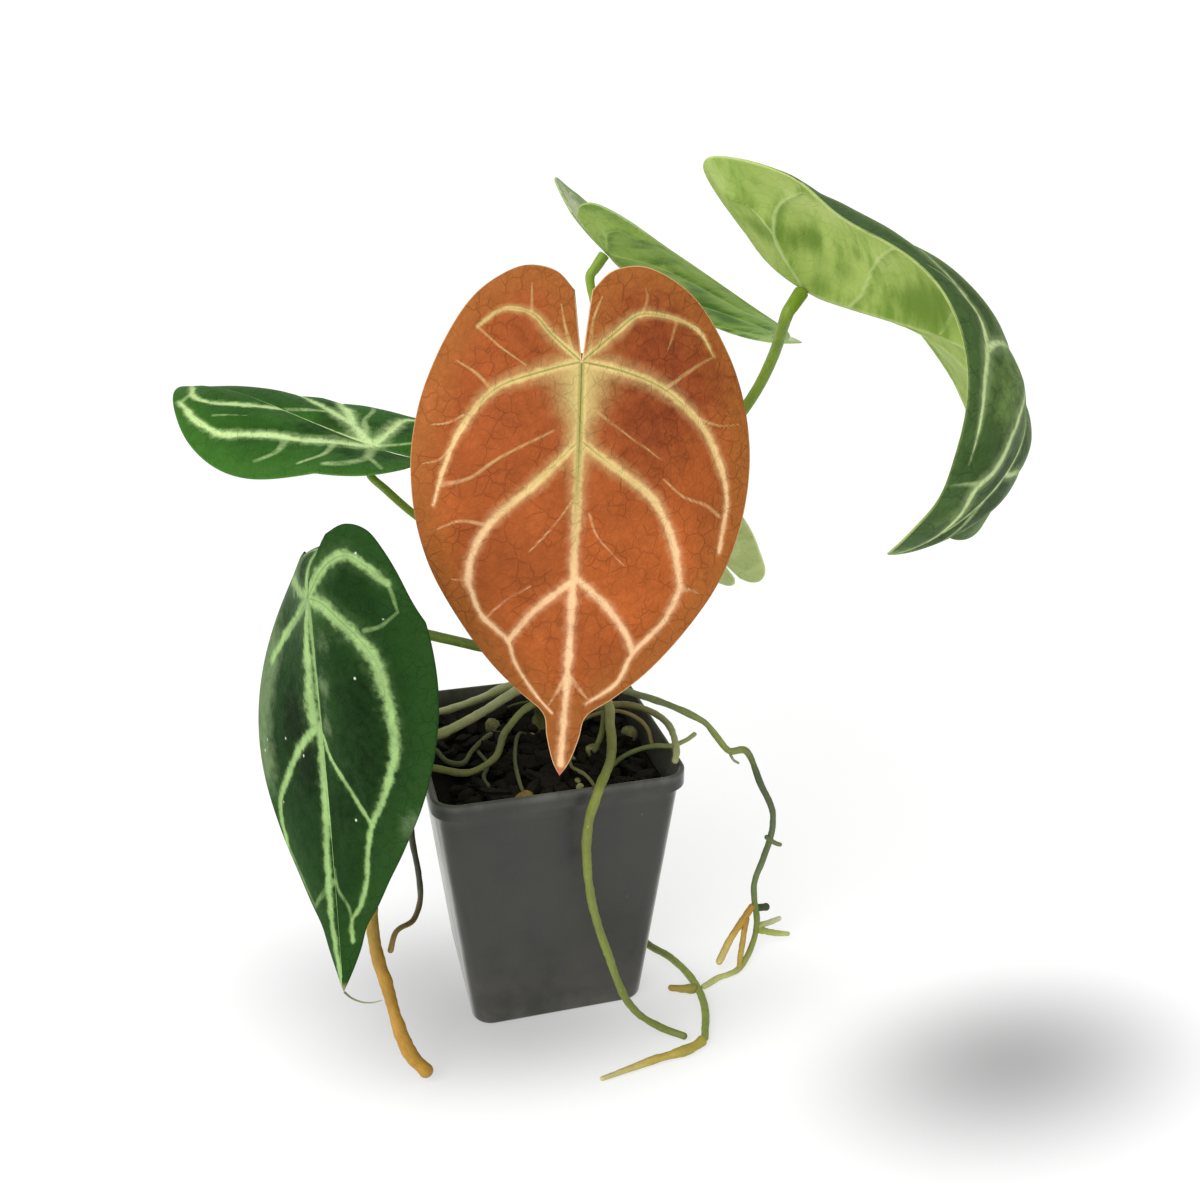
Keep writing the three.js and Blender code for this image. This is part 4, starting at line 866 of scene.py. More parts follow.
def upper_ground(nodes, flat, tint, look):
    """Ground of the upper side: drifting tints, torn patches of deeper tone with painted shade and of paler
    tone with painted sheen, and mottle under a broken dark net. Also gives its drift, patches, mottle and
    net."""
    margin, reach, shade_and_sheen = (nodes.value(key) for key in ("margin", "reach", "shade_and_sheen"))
    drift = nodes.noise(flat, 3.2, 2.0, 0.5)
    patches = soft_patches(nodes, flat, 9.0)
    mottle = nodes.noise(flat, 30.0, 5.0, 0.6)
    tone = nodes.mix(nodes.step(reach, 0.25, 0.55), tint["ground"], tint["far_ground"])
    tone = nodes.mix(nodes.step(drift, 0.4, 0.65, 0.0, 0.7), tone, tint["second"])
    tone = nodes.mix(nodes.times(patches, 0.35), tone, tint["patch"])
    tone = nodes.mix(nodes.step(margin, 1.0, 12.0, 0.75, 0.0), tone, tint["edge"])
    # Painted shade and painted sheen: where the patches run above 0 the tone darkens with painted shade, and
    # below 0 it pales with painted sheen, torn by the mottle
    torn = nodes.plus(shade_and_sheen, nodes.times(nodes.minus(mottle, 0.5), 0.7))
    tone = nodes.mix(nodes.step(torn, 0.1, 0.9), tone, tint["deep_tone_and_shade"])
    tone = nodes.mix(nodes.step(torn, -0.9, -0.1, 1.0, 0.0), tone, tint["pale_tone_and_sheen"])
    tone = nodes.mix(nodes.step(mottle, 0.4, 0.7, 0.0, 0.3), tone, nodes.mix(0.35, tone, BLACK))
    broken = nodes.step(nodes.noise(flat, 12.0, 3.0), 0.38, 0.56)
    coarse = nodes.times(cell_lines(nodes, flat, 26.0, 0.07), broken)
    fine = nodes.times(cell_lines(nodes, flat, 47.0, 0.16), 0.35)
    net = nodes.math("MAXIMUM", coarse, fine)
    tone = nodes.mix(nodes.times(net, look["net"]), tone, nodes.mix(0.62, tone, BLACK))
    return tone, drift, patches, mottle, net


def upper_veins(nodes, flat, tone, tint, look, strength, patches, mottle):
    """Veins over the ground of the upper side: a glow beside the midrib that narrows from the seat, a faint
    halo, pale worn lines and bands, and a green core with a painted shade line in the midrib's groove near
    the seat. Also gives the thin lines."""
    vein, thin, reach, gap = (nodes.value(key) for key in ("vein", "thin_vein", "reach", "rib_gap"))
    across = nodes.math("ABSOLUTE", nodes.minus(nodes.axis(flat, 0), 0.5))
    along = nodes.axis(flat, 1)
    uneven = nodes.plus(across, nodes.times(nodes.minus(mottle, 0.5), 0.05))
    width = nodes.step(along, 0.02, 0.22, 0.15, 0.06)
    beside = nodes.step(nodes.math("DIVIDE", uneven, width), -0.05, 1.0, 1.0, 0.0)
    beside = nodes.times(nodes.math("POWER", beside, 1.8), nodes.step(along, -0.02, 0.03))
    glow = nodes.times(beside, nodes.step(reach, 0.08, 0.32, look["glow_share"] * strength, 0.0))
    tone = nodes.mix(glow, tone, tint["glow"])
    halo = vein_band(nodes, flat, vein, nodes.step(reach, 0.0, 0.5, 2.8, 1.9), look["feather"])
    inner = vein_band(nodes, flat, vein, 1.35 * look["band"], 0.55 * look["feather"])
    lines = vein_band(nodes, flat, thin, look["fine"], 0.45)
    faded = nodes.times(nodes.step(patches, 0.0, 1.0, 1.0, 0.8), look["cover"] * strength)
    worn = nodes.times(faded, nodes.step(mottle, 0.3, 0.6, 0.2, 0.55))
    pale = nodes.mix(nodes.step(reach, 0.2, 0.6), tint["vein"], tint["far_vein"])
    for mask, share in ((halo, look["halo"] * strength), (lines, worn), (inner, faded)):
        tone = nodes.mix(nodes.times(mask, share), tone, pale)
    near_rib = nodes.step(gap, 0.08, 0.42, 0.9, 0.0)
    core = nodes.times(near_rib, nodes.step(reach, 0.1, 0.4, look["core_share"], 0.0))
    middle = nodes.times(nodes.step(across, 0.003, 0.011, 0.8, 0.0), nodes.step(along, -0.01, 0.005))
    middle = nodes.times(middle, nodes.step(reach, 0.1, 0.6, look["core_share"], 0.0))
    core = nodes.math("MAXIMUM", core, middle)
    tone = nodes.mix(core, tone, tint["core"])
    # Painted shade: a thin dark line down the middle of the midrib's groove near the seat
    furrow_shade = nodes.times(nodes.step(across, 0.0004, 0.0022, 0.6, 0.0), nodes.step(core, 0.3, 0.8))
    return nodes.mix(furrow_shade, tone, FURROW_SHADE_TONE), lines


def blade_upper_material(name, look, settings):
    """Upper side: the ground and its veins, a thin broken margin line, specks, the tip's tint, and a
    sheen where the surface is seen edge-on."""
    material, nodes, shader = new_material(f"{name}_upper", Specular_IOR_Level=0.05)
    flat = nodes.surface()
    tint = {key: srgb(value) for key, value in look.items() if isinstance(value, str)}
    tone, drift, patches, mottle, net = upper_ground(nodes, flat, tint, look)
    tone, lines = upper_veins(nodes, flat, tone, tint, look, settings.vein_strength, patches, mottle)
    broken = nodes.step(drift, 0.42, 0.55, 0.15, 1.0)
    line = nodes.times(nodes.step(nodes.value("margin"), 0.12, 0.4, 1.0, 0.0), broken)
    tone = nodes.mix(nodes.times(line, look["rim_share"]), tone, tint["rim"])
    tone = nodes.mix(nodes.times(flecks(nodes, flat, 55.0, 0.012), look["specks"]), tone, SPECK_TONE)
    tone = nodes.mix(nodes.step(nodes.value("reach"), 0.975, 0.995), tone, tint["tip"])
    # Painted sheen: a paler tint mixed into the colour where the blade is seen edge-on
    tone = nodes.mix(nodes.step(nodes.facing(), 0.7, 1.0, 0.0, look["sheen"]), tone, tint["pale_tone_and_sheen"])
    roughness = nodes.step(mottle, 0.3, 0.7, look["rough"] - 0.05, look["rough"] + 0.1)
    height = nodes.plus(nodes.minus(nodes.times(mottle, 0.6), net), nodes.times(lines, 0.5))
    nodes.finish(shader, tone, roughness, nodes.bump(height, 0.35, 0.6))
    return material


def blade_under_material(name, look):
    """Underside: pale tissue with paler ribs, with painted shade between them and in soft strokes away from
    the midrib, patches of painted shade and painted sheen, and a net of fine darker veins."""
    material, nodes, shader = new_material(f"{name}_under", Specular_IOR_Level=0.05)
    flat = nodes.surface()
    ground, dark, pale = (srgb(look[key]) for key in ("under", "under_dark", "under_vein"))
    vein, thin, margin, shade_and_sheen = (nodes.value(key) for key in ("vein", "thin_vein", "margin", "shade_and_sheen"))
    patches = soft_patches(nodes, flat, 3.4)
    net = cell_lines(nodes, flat, 24.0, 0.12)
    strokes = nodes.noise(nodes.stretched(flat, (1.0, 4.0, 1.0), 0.9), 3.6, 4.0, 0.6)
    # Painted shade and sheen of the patches: a darker tone above 0 and a paler one below 0, torn by the
    # strokes
    torn = nodes.plus(shade_and_sheen, nodes.minus(strokes, 0.5))
    tone = nodes.mix(nodes.times(patches, 0.35), ground, dark)
    # Painted shade in soft dark strokes
    tone = nodes.mix(nodes.step(strokes, 0.46, 0.7, 0.0, 0.7), tone, dark)
    tone = nodes.mix(nodes.step(torn, 0.05, 0.8, 0.0, 0.85), tone, nodes.mix(0.3, dark, UNDER_DEEP_AND_SHADE_TONE))
    tone = nodes.mix(nodes.step(torn, -0.8, -0.05, 0.8, 0.0), tone, nodes.mix(0.35, ground, pale))
    tone = nodes.mix(nodes.times(net, 0.1), tone, dark)
    # Painted shade beside the ribs, fading away from them within the strokes
    shade = nodes.times(nodes.step(vein, 0.8, 3.6, 0.6, 0.0), nodes.step(strokes, 0.4, 0.6))
    tone = nodes.mix(shade, tone, dark)
    ribs = vein_band(nodes, flat, vein, 0.7, 0.3)
    fine = vein_band(nodes, flat, thin, 0.6, 0.3)
    tone = nodes.mix(nodes.times(nodes.math("MAXIMUM", ribs, fine), 0.5), tone, pale)
    broken = nodes.step(strokes, 0.42, 0.55, 0.2, 1.0)
    line = nodes.times(nodes.step(margin, 0.15, 0.45, 1.0, 0.0), broken)
    tone = nodes.mix(nodes.times(line, look["rim_share"]), tone, srgb(look["rim"]))
    height = nodes.plus(nodes.times(net, -0.5), nodes.noise(flat, 30.0, 4.0))
    nodes.finish(shader, tone, nodes.step(patches, 0.0, 1.0, 0.48, 0.6), nodes.bump(height, 0.3, 0.5))
    return material


def skin_material(name, tints, streak=0.25, rough=0.5, bump=0.2):
    """Root or petiole skin: tints in even steps along the strand, with streaks along it, soft patches
    and pale flecks."""
    material, nodes, shader = new_material(name, Specular_IOR_Level=0.3)
    place = nodes.place()
    wander = nodes.times(nodes.minus(nodes.noise(place, 90.0, 2.0), 0.5), 0.08)
    ramp = nodes.add("ShaderNodeValToRGB", {0: nodes.plus(nodes.value("share"), wander)})
    colors = ramp.color_ramp.elements
    for order, tint in enumerate(tints):
        stop = colors[order] if order < 2 else colors.new(1)
        stop.position = order / (len(tints) - 1)
        stop.color = tint
    streaks = nodes.noise(nodes.stretched(nodes.surface(), (14.0, 1.2, 1.0)), 2.5, 4.0, 0.6)
    lit = nodes.step(streaks, 0.35, 0.65, 0.0, streak)
    tone = nodes.mix(lit, ramp.outputs[0], STREAK_TONE, "SOFT_LIGHT")
    patches = nodes.times(soft_patches(nodes, place, 130.0), 0.5)
    tone = nodes.mix(patches, tone, nodes.mix(0.4, tone, SOIL_TONE))
    tone = nodes.mix(nodes.times(flecks(nodes, place, 900.0, 0.05), 0.3), tone, FLECK_TONE)
    height = nodes.plus(streaks, nodes.noise(place, 900.0, 3.0))
    roughness = nodes.step(streaks, 0.3, 0.7, rough - 0.08, rough + 0.1)
    nodes.finish(shader, tone, roughness, nodes.bump(height, bump, 0.6))
    return material


def plastic_material(settings):
    """Moulded nursery plastic: satin, with faint upright flow marks, water smudges, dust that gathers low
    down, a few mineral flecks, paler worn edges and a painted sheen, a paler grey where it is seen edge-on."""
    material, nodes, shader = new_material("pot_plastic", Specular_IOR_Level=0.4)
    place = nodes.place()
    smudges = soft_patches(nodes, place, 45.0)
    marks = nodes.noise(nodes.stretched(place, (1.0, 1.0, 0.12)), 260.0, 4.0, 0.6)
    dust = nodes.times(nodes.step(nodes.axis(place, 2), 0.0, 0.03, 0.2, 0.0), smudges)
    worn = nodes.times(nodes.value("edge"), nodes.step(smudges, 0.0, 1.0, 0.15, 0.5))
    grains = nodes.math("MAXIMUM", flecks(nodes, place, 230.0, 0.006), flecks(nodes, place, 430.0, 0.006))
    # Painted sheen: pale grey mixed into the plastic's colour where it is seen edge-on
    painted_edge_on_sheen = nodes.step(nodes.facing(), 0.55, 0.97, 0.0, 0.75)
    tone = tuple(settings.wall_color)
    layers = [(nodes.step(marks, 0.35, 0.65), "30302B"), (nodes.times(smudges, 0.4), "43423B"),
              (dust, "6A6557"), (worn, "8E8E84"), (nodes.times(grains, 0.6), "C9C9C0"), (painted_edge_on_sheen, "B4B4AE")]
    for mask, tint in layers:
        tone = nodes.mix(mask, tone, srgb(tint))
    height = nodes.plus(nodes.noise(place, 1400.0, 3.0), nodes.times(marks, 0.8))
    nodes.finish(shader, tone, nodes.step(smudges, 0.0, 1.0, 0.32, 0.5), nodes.bump(height, 0.12, 0.5))
    return material


def bark_material(settings, name, scale):
    """Damp bark: dark fibres with lighter broken faces and a trace of algae."""
    material, nodes, shader = new_material(name, Specular_IOR_Level=0.2)
    place = nodes.place()
    grain = nodes.noise(nodes.stretched(place, (0.35, 1.0, 1.0)), 900.0, 5.0, 0.65)
    green = soft_patches(nodes, place, scale * 0.6)
    tone = nodes.mix(soft_patches(nodes, place, scale), tuple(settings.bark_color), srgb("1E1910"))
    tone = nodes.mix(nodes.step(grain, 0.45, 0.75, 0.0, 0.6), tone, srgb("2C2618"))
    tone = nodes.mix(nodes.step(green, 0.75, 1.0, 0.0, 0.5), tone, srgb("222A12"))
    nodes.finish(shader, tone, nodes.step(grain, 0.3, 0.7, 0.7, 0.95), nodes.bump(grain, 0.5, 0.8))
    return material


def grain_material(name, tint, shade):
    """Mineral grain: pale, chalky and pitted, with stains."""
    material, nodes, shader = new_material(name, Specular_IOR_Level=0.2)
    place = nodes.place()
    pits = nodes.noise(place, 1800.0, 4.0, 0.7)
    tone = nodes.mix(nodes.times(soft_patches(nodes, place, 420.0), 0.8), tint, shade)
    nodes.finish(shader, tone, nodes.step(pits, 0.3, 0.7, 0.75, 0.95), nodes.bump(pits, 0.4, 0.8))
    return material


def floor_material(settings):
    """Plain pale paper with a very faint tooth and soft shades, lifted so that it reads as white."""
    material, nodes, shader = new_material(
        "floor_paper", Specular_IOR_Level=0.0, Emission_Strength=settings.floor_lift)
    place = nodes.place()
    tooth = nodes.noise(place, 60.0, 2.0)
    tone = nodes.mix(nodes.step(tooth, 0.3, 0.7, 0.0, 0.04), tuple(settings.floor_color), TOOTH_TONE)
    light = 1.0
    for x, y, long_reach, short_reach, turn, strength in FLOOR_SHADES:
        inputs = {"Vector": place, "Location": (x * MM, y * MM, 0.0),
                  "Rotation": (0.0, 0.0, math.radians(turn)),
                  "Scale": (long_reach * MM, short_reach * MM, 1.0)}
        ellipse = nodes.add("ShaderNodeMapping", inputs, vector_type="TEXTURE").outputs[0]
        gap = nodes.add("ShaderNodeVectorMath", {0: ellipse}, operation="LENGTH").outputs["Value"]
        light = nodes.times(light, nodes.step(gap, 0.0, 1.0, 1 - strength, 1.0))
    nodes.put(shader.inputs["Base Color"], nodes.mix(light, BLACK, tone))
    nodes.put(shader.inputs["Emission Color"], nodes.mix(light, BLACK, WHITE))
    nodes.put(shader.inputs["Roughness"], nodes.step(tooth, 0.3, 0.7, 0.9, 0.96))
    return material


def rounded_square(half, radius, height, corner_steps=14):
    """Ring round a square with rounded corners, closed on its first point, seen anticlockwise from
    above: four quarter circles, each about a corner of the inner square."""
    angles = np.linspace(0, math.pi / 2, corner_steps + 1)[None, :] + np.arange(4)[:, None] * math.pi / 2
    quarter = np.arange(4)[:, None] * math.pi / 2 + math.pi / 4
    inner = (half - radius) * math.sqrt(2)
    x = inner * np.cos(quarter) + radius * np.cos(angles)
    y = inner * np.sin(quarter) + radius * np.sin(angles)
    ring = np.stack([x.ravel(), y.ravel(), np.full(x.size, height, float)], -1)
    return np.vstack([ring, ring[:1]])


def pot_profile():
    """Profile of the pot as rows of half width, corner radius, height and how worn it is: up the
    outside, over the lip, down the inside and across the floor."""
    wall_top = POT_HEIGHT - LIP_HEIGHT
    wall_half = POT_RIM_HALF - LIP_STEP
    wall_radius = RIM_CORNER_RADIUS - LIP_STEP
    inner_floor = POT_WALL + FOOT_CHAMFER / 2
    turn = np.linspace(0, math.pi / 2, BEND_STEPS)
    profile = [(*RING_MIDDLE, 0, 0), (POT_BASE_HALF - FOOT_CHAMFER, BASE_CORNER_RADIUS - FOOT_CHAMFER, 0, 0)]
    for angle in turn:
        inset = FOOT_CHAMFER * (1 - math.sin(angle))
        rise = FOOT_CHAMFER * (1 - math.cos(angle))
        profile.append((POT_BASE_HALF - inset, BASE_CORNER_RADIUS - inset, rise, FOOT_WEAR))
    for share in np.linspace(*WALL_SPAN, WALL_RINGS):
        half = POT_BASE_HALF + (wall_half - POT_BASE_HALF) * share
        radius = BASE_CORNER_RADIUS + (wall_radius - BASE_CORNER_RADIUS) * share
        profile.append((half, radius, FOOT_CHAMFER + (wall_top - FOOT_CHAMFER) * share, 0))
    for angle in turn:
        out = LIP_STEP * (1 - math.cos(angle))
        rise = LIP_STEP / 2 * math.sin(angle)
        profile.append((wall_half + out, wall_radius + out, wall_top + rise, STEP_WEAR))
    profile.append((POT_RIM_HALF, RIM_CORNER_RADIUS, POT_HEIGHT - LIP_BAND, BAND_WEAR))
    for angle in turn:
        inset = LIP_ROUND_OUT * (1 - math.cos(angle))
        drop = LIP_ROUND_OUT * (1 - math.sin(angle))
        profile.append((POT_RIM_HALF - inset, RIM_CORNER_RADIUS - inset, POT_HEIGHT - drop, LIP_WEAR))
    for angle in turn:
        inset = LIP_ROUND_IN * math.sin(angle) + LIP_ROUND_OUT
        drop = LIP_ROUND_IN * (1 - math.cos(angle))
        profile.append((POT_RIM_HALF - inset, RIM_CORNER_RADIUS - inset, POT_HEIGHT - drop, LIP_WEAR))
    narrow, rise = INNER_FOOT
    inside_half, inside_radius = POT_BASE_HALF - POT_WALL, BASE_CORNER_RADIUS - POT_WALL
    profile.append((wall_half - POT_WALL, wall_radius - POT_WALL, wall_top, 0))
    profile.append((inside_half, inside_radius, inner_floor + rise, 0))
    profile.append((inside_half - narrow, inside_radius - narrow, inner_floor, 0))
    profile.append((*RING_MIDDLE, inner_floor, 0))
    return profile


def make_pot(settings):
    """Pot: rounded squares lofted along the profile, with four drain holes cut through the floor."""
    profile = pot_profile()
    rings = np.stack([rounded_square(half, radius, height) for half, radius, height, _ in profile])
    edge = np.repeat(np.array([row[3] for row in profile])[:, None], rings.shape[1], 1)
    side = np.linspace(0, 1, rings.shape[1])[None, :].repeat(len(profile), 0)
    uv = np.stack([side * 4, rings[..., 2] / POT_HEIGHT], -1)
    rows, columns = rings.shape[:2]
    quads = grid_quads(rows, columns, flip=True)
    caps = []
    for row in (0, rows - 1):
        ring = row * columns + np.arange(columns - 1)
        corners = ring.reshape(4, -1)[:, 0]
        caps.append(corners[::-1] if row == 0 else corners)
    quads = np.vstack([quads, caps])
    pot = make_piece("nursery_pot", rings.reshape(-1, 3), quads, [plastic_material(settings)],
                     uv=uv.reshape(-1, 2), values={"edge": edge.ravel()})
    cut_drains(pot)
    pot.data.shade_smooth()
    pot.data.set_sharp_from_angle(angle=math.radians(POT_SHARP_ANGLE))
    ride(pot, ["pot"])


def cut_drains(pot):
    """Cuts four round holes through the pot's floor with a Boolean modifier and keeps its result."""
    work = bmesh.new()
    radius = DRAIN_RADIUS * MM
    shape = dict(segments=DRAIN_SIDES, radius1=radius, radius2=radius, depth=DRAIN_CUT * MM)
    for x in (-DRAIN_OFFSET, DRAIN_OFFSET):
        for y in (-DRAIN_OFFSET, DRAIN_OFFSET):
            made = bmesh.ops.create_cone(work, cap_ends=True, **shape)
            bmesh.ops.translate(work, verts=made["verts"], vec=(x * MM, y * MM, POT_WALL * MM))
    mesh = bpy.data.meshes.new("drain_cutter")
    work.to_mesh(mesh)
    work.free()
    cutter = bpy.data.objects.new("drain_cutter", mesh)
    bpy.context.scene.collection.objects.link(cutter)
    modifier = pot.modifiers.new("drains", "BOOLEAN")
    modifier.operation = "DIFFERENCE"
    modifier.object = cutter
    evaluated = pot.evaluated_get(bpy.context.evaluated_depsgraph_get())
    result = bpy.data.meshes.new_from_object(evaluated)
    pot.modifiers.clear()
    pot.data = result
    bpy.data.objects.remove(cutter, do_unlink=True)
    bpy.data.meshes.remove(mesh)


def inner_half(height):
    """Half width of the mix at a height: the pot's inside, a straight taper from base to lip, less a gap."""
    share = height / (POT_HEIGHT - LIP_HEIGHT)
    return POT_BASE_HALF + (POT_RIM_HALF - LIP_STEP - POT_BASE_HALF) * share - POT_WALL - MIX_WALL_GAP


def make_mix_bed(settings):
    """Bed of fine mix: the pot's inside filled to an uneven top, which is a sum of sine waves over
    rings that shrink to the middle."""
    floor = POT_WALL + FOOT_CHAMFER / 2 + MIX_FLOOR_GAP
    level = MIX_TOP - MIX_EDGE_DROP
    radius = BASE_CORNER_RADIUS - POT_WALL
    sides = [rounded_square(inner_half(height), radius, height) for height in (floor, POT_HEIGHT / 2, level)]
    under = rounded_square(0.4, 0.2, floor)
    shares = np.linspace(1, 0.012, MIX_TOP_RINGS)[1:]
    top = np.stack([rounded_square(inner_half(level) * share, max(radius * share, 0.1), level)
                    for share in shares])
    fade = np.clip((1 - shares) * 12, 0, 1)[:, None]
    broad = ripple(top[..., 0] * 0.45, top[..., 1] * 0.45, 5)
    fine = ripple(top[..., 0] * 1.3, top[..., 1] * 1.3, 6)
    top[..., 2] += (broad + 0.6 * fine) * fade * MIX_RELIEF
    rings = np.concatenate([np.stack([under, *sides]), top])
    rows, columns = rings.shape[:2]
    quads = grid_quads(rows, columns, flip=True)
    last = (rows - 1) * columns + np.arange(columns - 1).reshape(4, -1)[:, 0]
    first = np.arange(columns - 1).reshape(4, -1)[:, 0][::-1]
    quads = np.vstack([quads, [first, last]])
    bed = make_piece("mix_bed", rings.reshape(-1, 3), quads, [bark_material(settings, "mix_fines", 260.0)])
    ride(bed, ["potting_mix"])


def scattered(name, sizes, places, turns, material, seed, rough, power, rows=7, columns=9):
    """Many rounded lumps in one mesh. Each is a superellipsoid, whose sine and cosine are raised to a
    power that makes it blocky, made uneven by random values and turned about all three axes."""
    random = np.random.default_rng(seed)
    count = len(sizes)
    turn = np.linspace(0, 2 * math.pi, columns + 1)
    down, around = np.meshgrid(np.linspace(0, math.pi, rows), turn, indexing="ij")

    def softened(values):
        return np.sign(values) * np.abs(values) ** power

    shape = np.stack([softened(np.sin(down)) * softened(np.cos(around)),
                      softened(np.sin(down)) * softened(np.sin(around)), softened(np.cos(down))], -1)
    uneven = random.uniform(1 - rough, 1 + rough, (count, rows, columns + 1, 1))
    uneven[:, 0] = 1
    uneven[:, -1] = 1
    uneven[:, :, -1] = uneven[:, :, 0]
    points = shape[None] * uneven * sizes[:, None, None, :] / 2
    for axis in range(3):
        first, second = [other for other in range(3) if other != axis]
        cosine, sine = np.cos(turns[:, axis])[:, None, None], np.sin(turns[:, axis])[:, None, None]
        a, b = points[..., first].copy(), points[..., second].copy()
        points[..., first] = a * cosine - b * sine
        points[..., second] = a * sine + b * cosine
    points += places[:, None, None, :]
    grids = [(lump, np.zeros((*lump.shape[:2], 2)), np.full(lump.shape[:2], seed)) for lump in points]
    vertices, quads, _, _ = join_grids(grids, flip=False)
    return make_piece(name, vertices, quads, [material], sharp=38)


def make_chips(settings):
    """Bark chips and a few pale grains strewn over the bed, kept clear of the pot's wall."""
    random = np.random.default_rng(settings.seed)
    count = settings.chip_count
    length = random.uniform(0.6, 1.25, count) * settings.chip_length / MM
    sizes = np.stack([length, length * random.uniform(0.4, 0.75, count),
                      length * random.uniform(0.22, 0.42, count)], -1)
    room = inner_half(MIX_TOP) - CHIP_CLEARANCE
    places = np.stack([random.uniform(-room, room, count), random.uniform(-room, room, count),
                       MIX_TOP + random.uniform(-1.5, 2.4, count)], -1)
    turns = random.uniform(-0.5, 0.5, (count, 3))
    turns[:, 2] = random.uniform(0, math.pi, count)
    bark = bark_material(settings, "bark", 330.0)
    ride(scattered("bark_chips", sizes, places, turns, bark, 3, 0.16, 0.62))
    whites = np.array([(x, y, MIX_TOP + LUMP_RADIUS / 2) for x, y in LUMP_PLACES])
    sizes = np.full(whites.shape, 2 * LUMP_RADIUS) * random.uniform(0.8, 1.1, whites.shape)
    extra = settings.grain_count
    strewn = np.stack([random.uniform(-room, room, extra), random.uniform(-room, room, extra),
                       MIX_TOP + random.uniform(0.6, 2, extra)], -1)
    sizes = np.vstack([sizes, random.uniform(1, 2.4, (extra, 3))])
    pale = grain_material("perlite", tuple(settings.grain_color), srgb("6E6C4C"))
    places = np.vstack([whites, strewn])
    turns = random.uniform(0, math.pi, places.shape)
    ride(scattered("perlite_grains", sizes, places, turns, pale, 4, 0.05, 0.9, 12, 16))
    place = np.array([(*AMBER_PLACE, MIX_TOP + LUMP_RADIUS / 2)])
    size = np.array([AMBER_SIZE]) * LUMP_RADIUS
    amber = grain_material("amber_chip", srgb("A58A4C"), srgb("5E4A28"))
    ride(scattered("amber_bark_chip", size, place, np.array([AMBER_TURN]), amber, 6, 0.06, 0.8, 12, 16))


def strand_piece(name, grids, skins, replaced=()):
    """One mesh of tubes on the part's body, with a skin for each tube."""
    slots = [np.full((share.shape[0] - 1) * (share.shape[1] - 1), number)
             for number, (_, _, share) in enumerate(grids)]
    vertices, quads, uvs, share = join_grids(grids)
    piece = make_piece(name, vertices, quads, skins, uv=uvs, values={"share": share},
                       slots=np.concatenate(slots))
    ride(piece, replaced)


def make_stem():
    """Short stem: a tube that narrows upwards and swells at each leaf scar."""
    def radius_at(share):
        return STEM_RADIUS * (1 - 0.2 * share) + 0.5 * math.sin(2 * math.pi * 5 * share)

    grid = tube(STEM_PATH, radius_at, 40, 120, uneven=0.07, seed=21)
    material = skin_material("stem_skin", (srgb("5E5A34"), srgb("71813C")), 0.5, 0.6, 0.6)
    strand_piece("short_stem", [grid], [material], ["stem"])


def make_strand(strand, sides, rings, knobbliness, seed):
    """Tube along a strand's path, which narrows or widens evenly from one radius to the other."""
    start, end = strand["radii"]

    def radius_at(share):
        return start + (end - start) * share

    return tube(strand["path"], radius_at, sides, rings, knobbliness, seed)


def make_roots(settings):
    """Each root with its branches as one mesh of uneven tubes, with a skin for each strand."""
    for order, (name, root) in enumerate(ROOTS.items()):
        strands = [root, *root.get("branches", [])]
        grids, materials = [], []
        for number, strand in enumerate(strands):
            rings = 260 if number == 0 else 36
            grids.append(make_strand(strand, 18, rings, settings.knobbliness, 40 + 9 * order + number))
            tints = [srgb(tint) for tint in strand["tints"]]
            materials.append(skin_material(f"{name}_skin_{number}", tints, 0.35, 0.5, 0.22))
        strand_piece(f"{name}_strand", grids, materials, [name])


def make_rootlets(settings):
    """Thin rootlets over the mix, each an uneven tube."""
    for number, (radius, tint, path) in enumerate(ROOTLETS):
        strand = dict(radii=(radius, radius), path=path)
        grid = make_strand(strand, 10, 60, settings.knobbliness, 140 + number)
        material = skin_material(f"rootlet_{number}_skin", (srgb(tint), srgb(tint)), 0.35, 0.55, 0.15)
        strand_piece(f"mix_rootlet_{number}", [grid], [material])


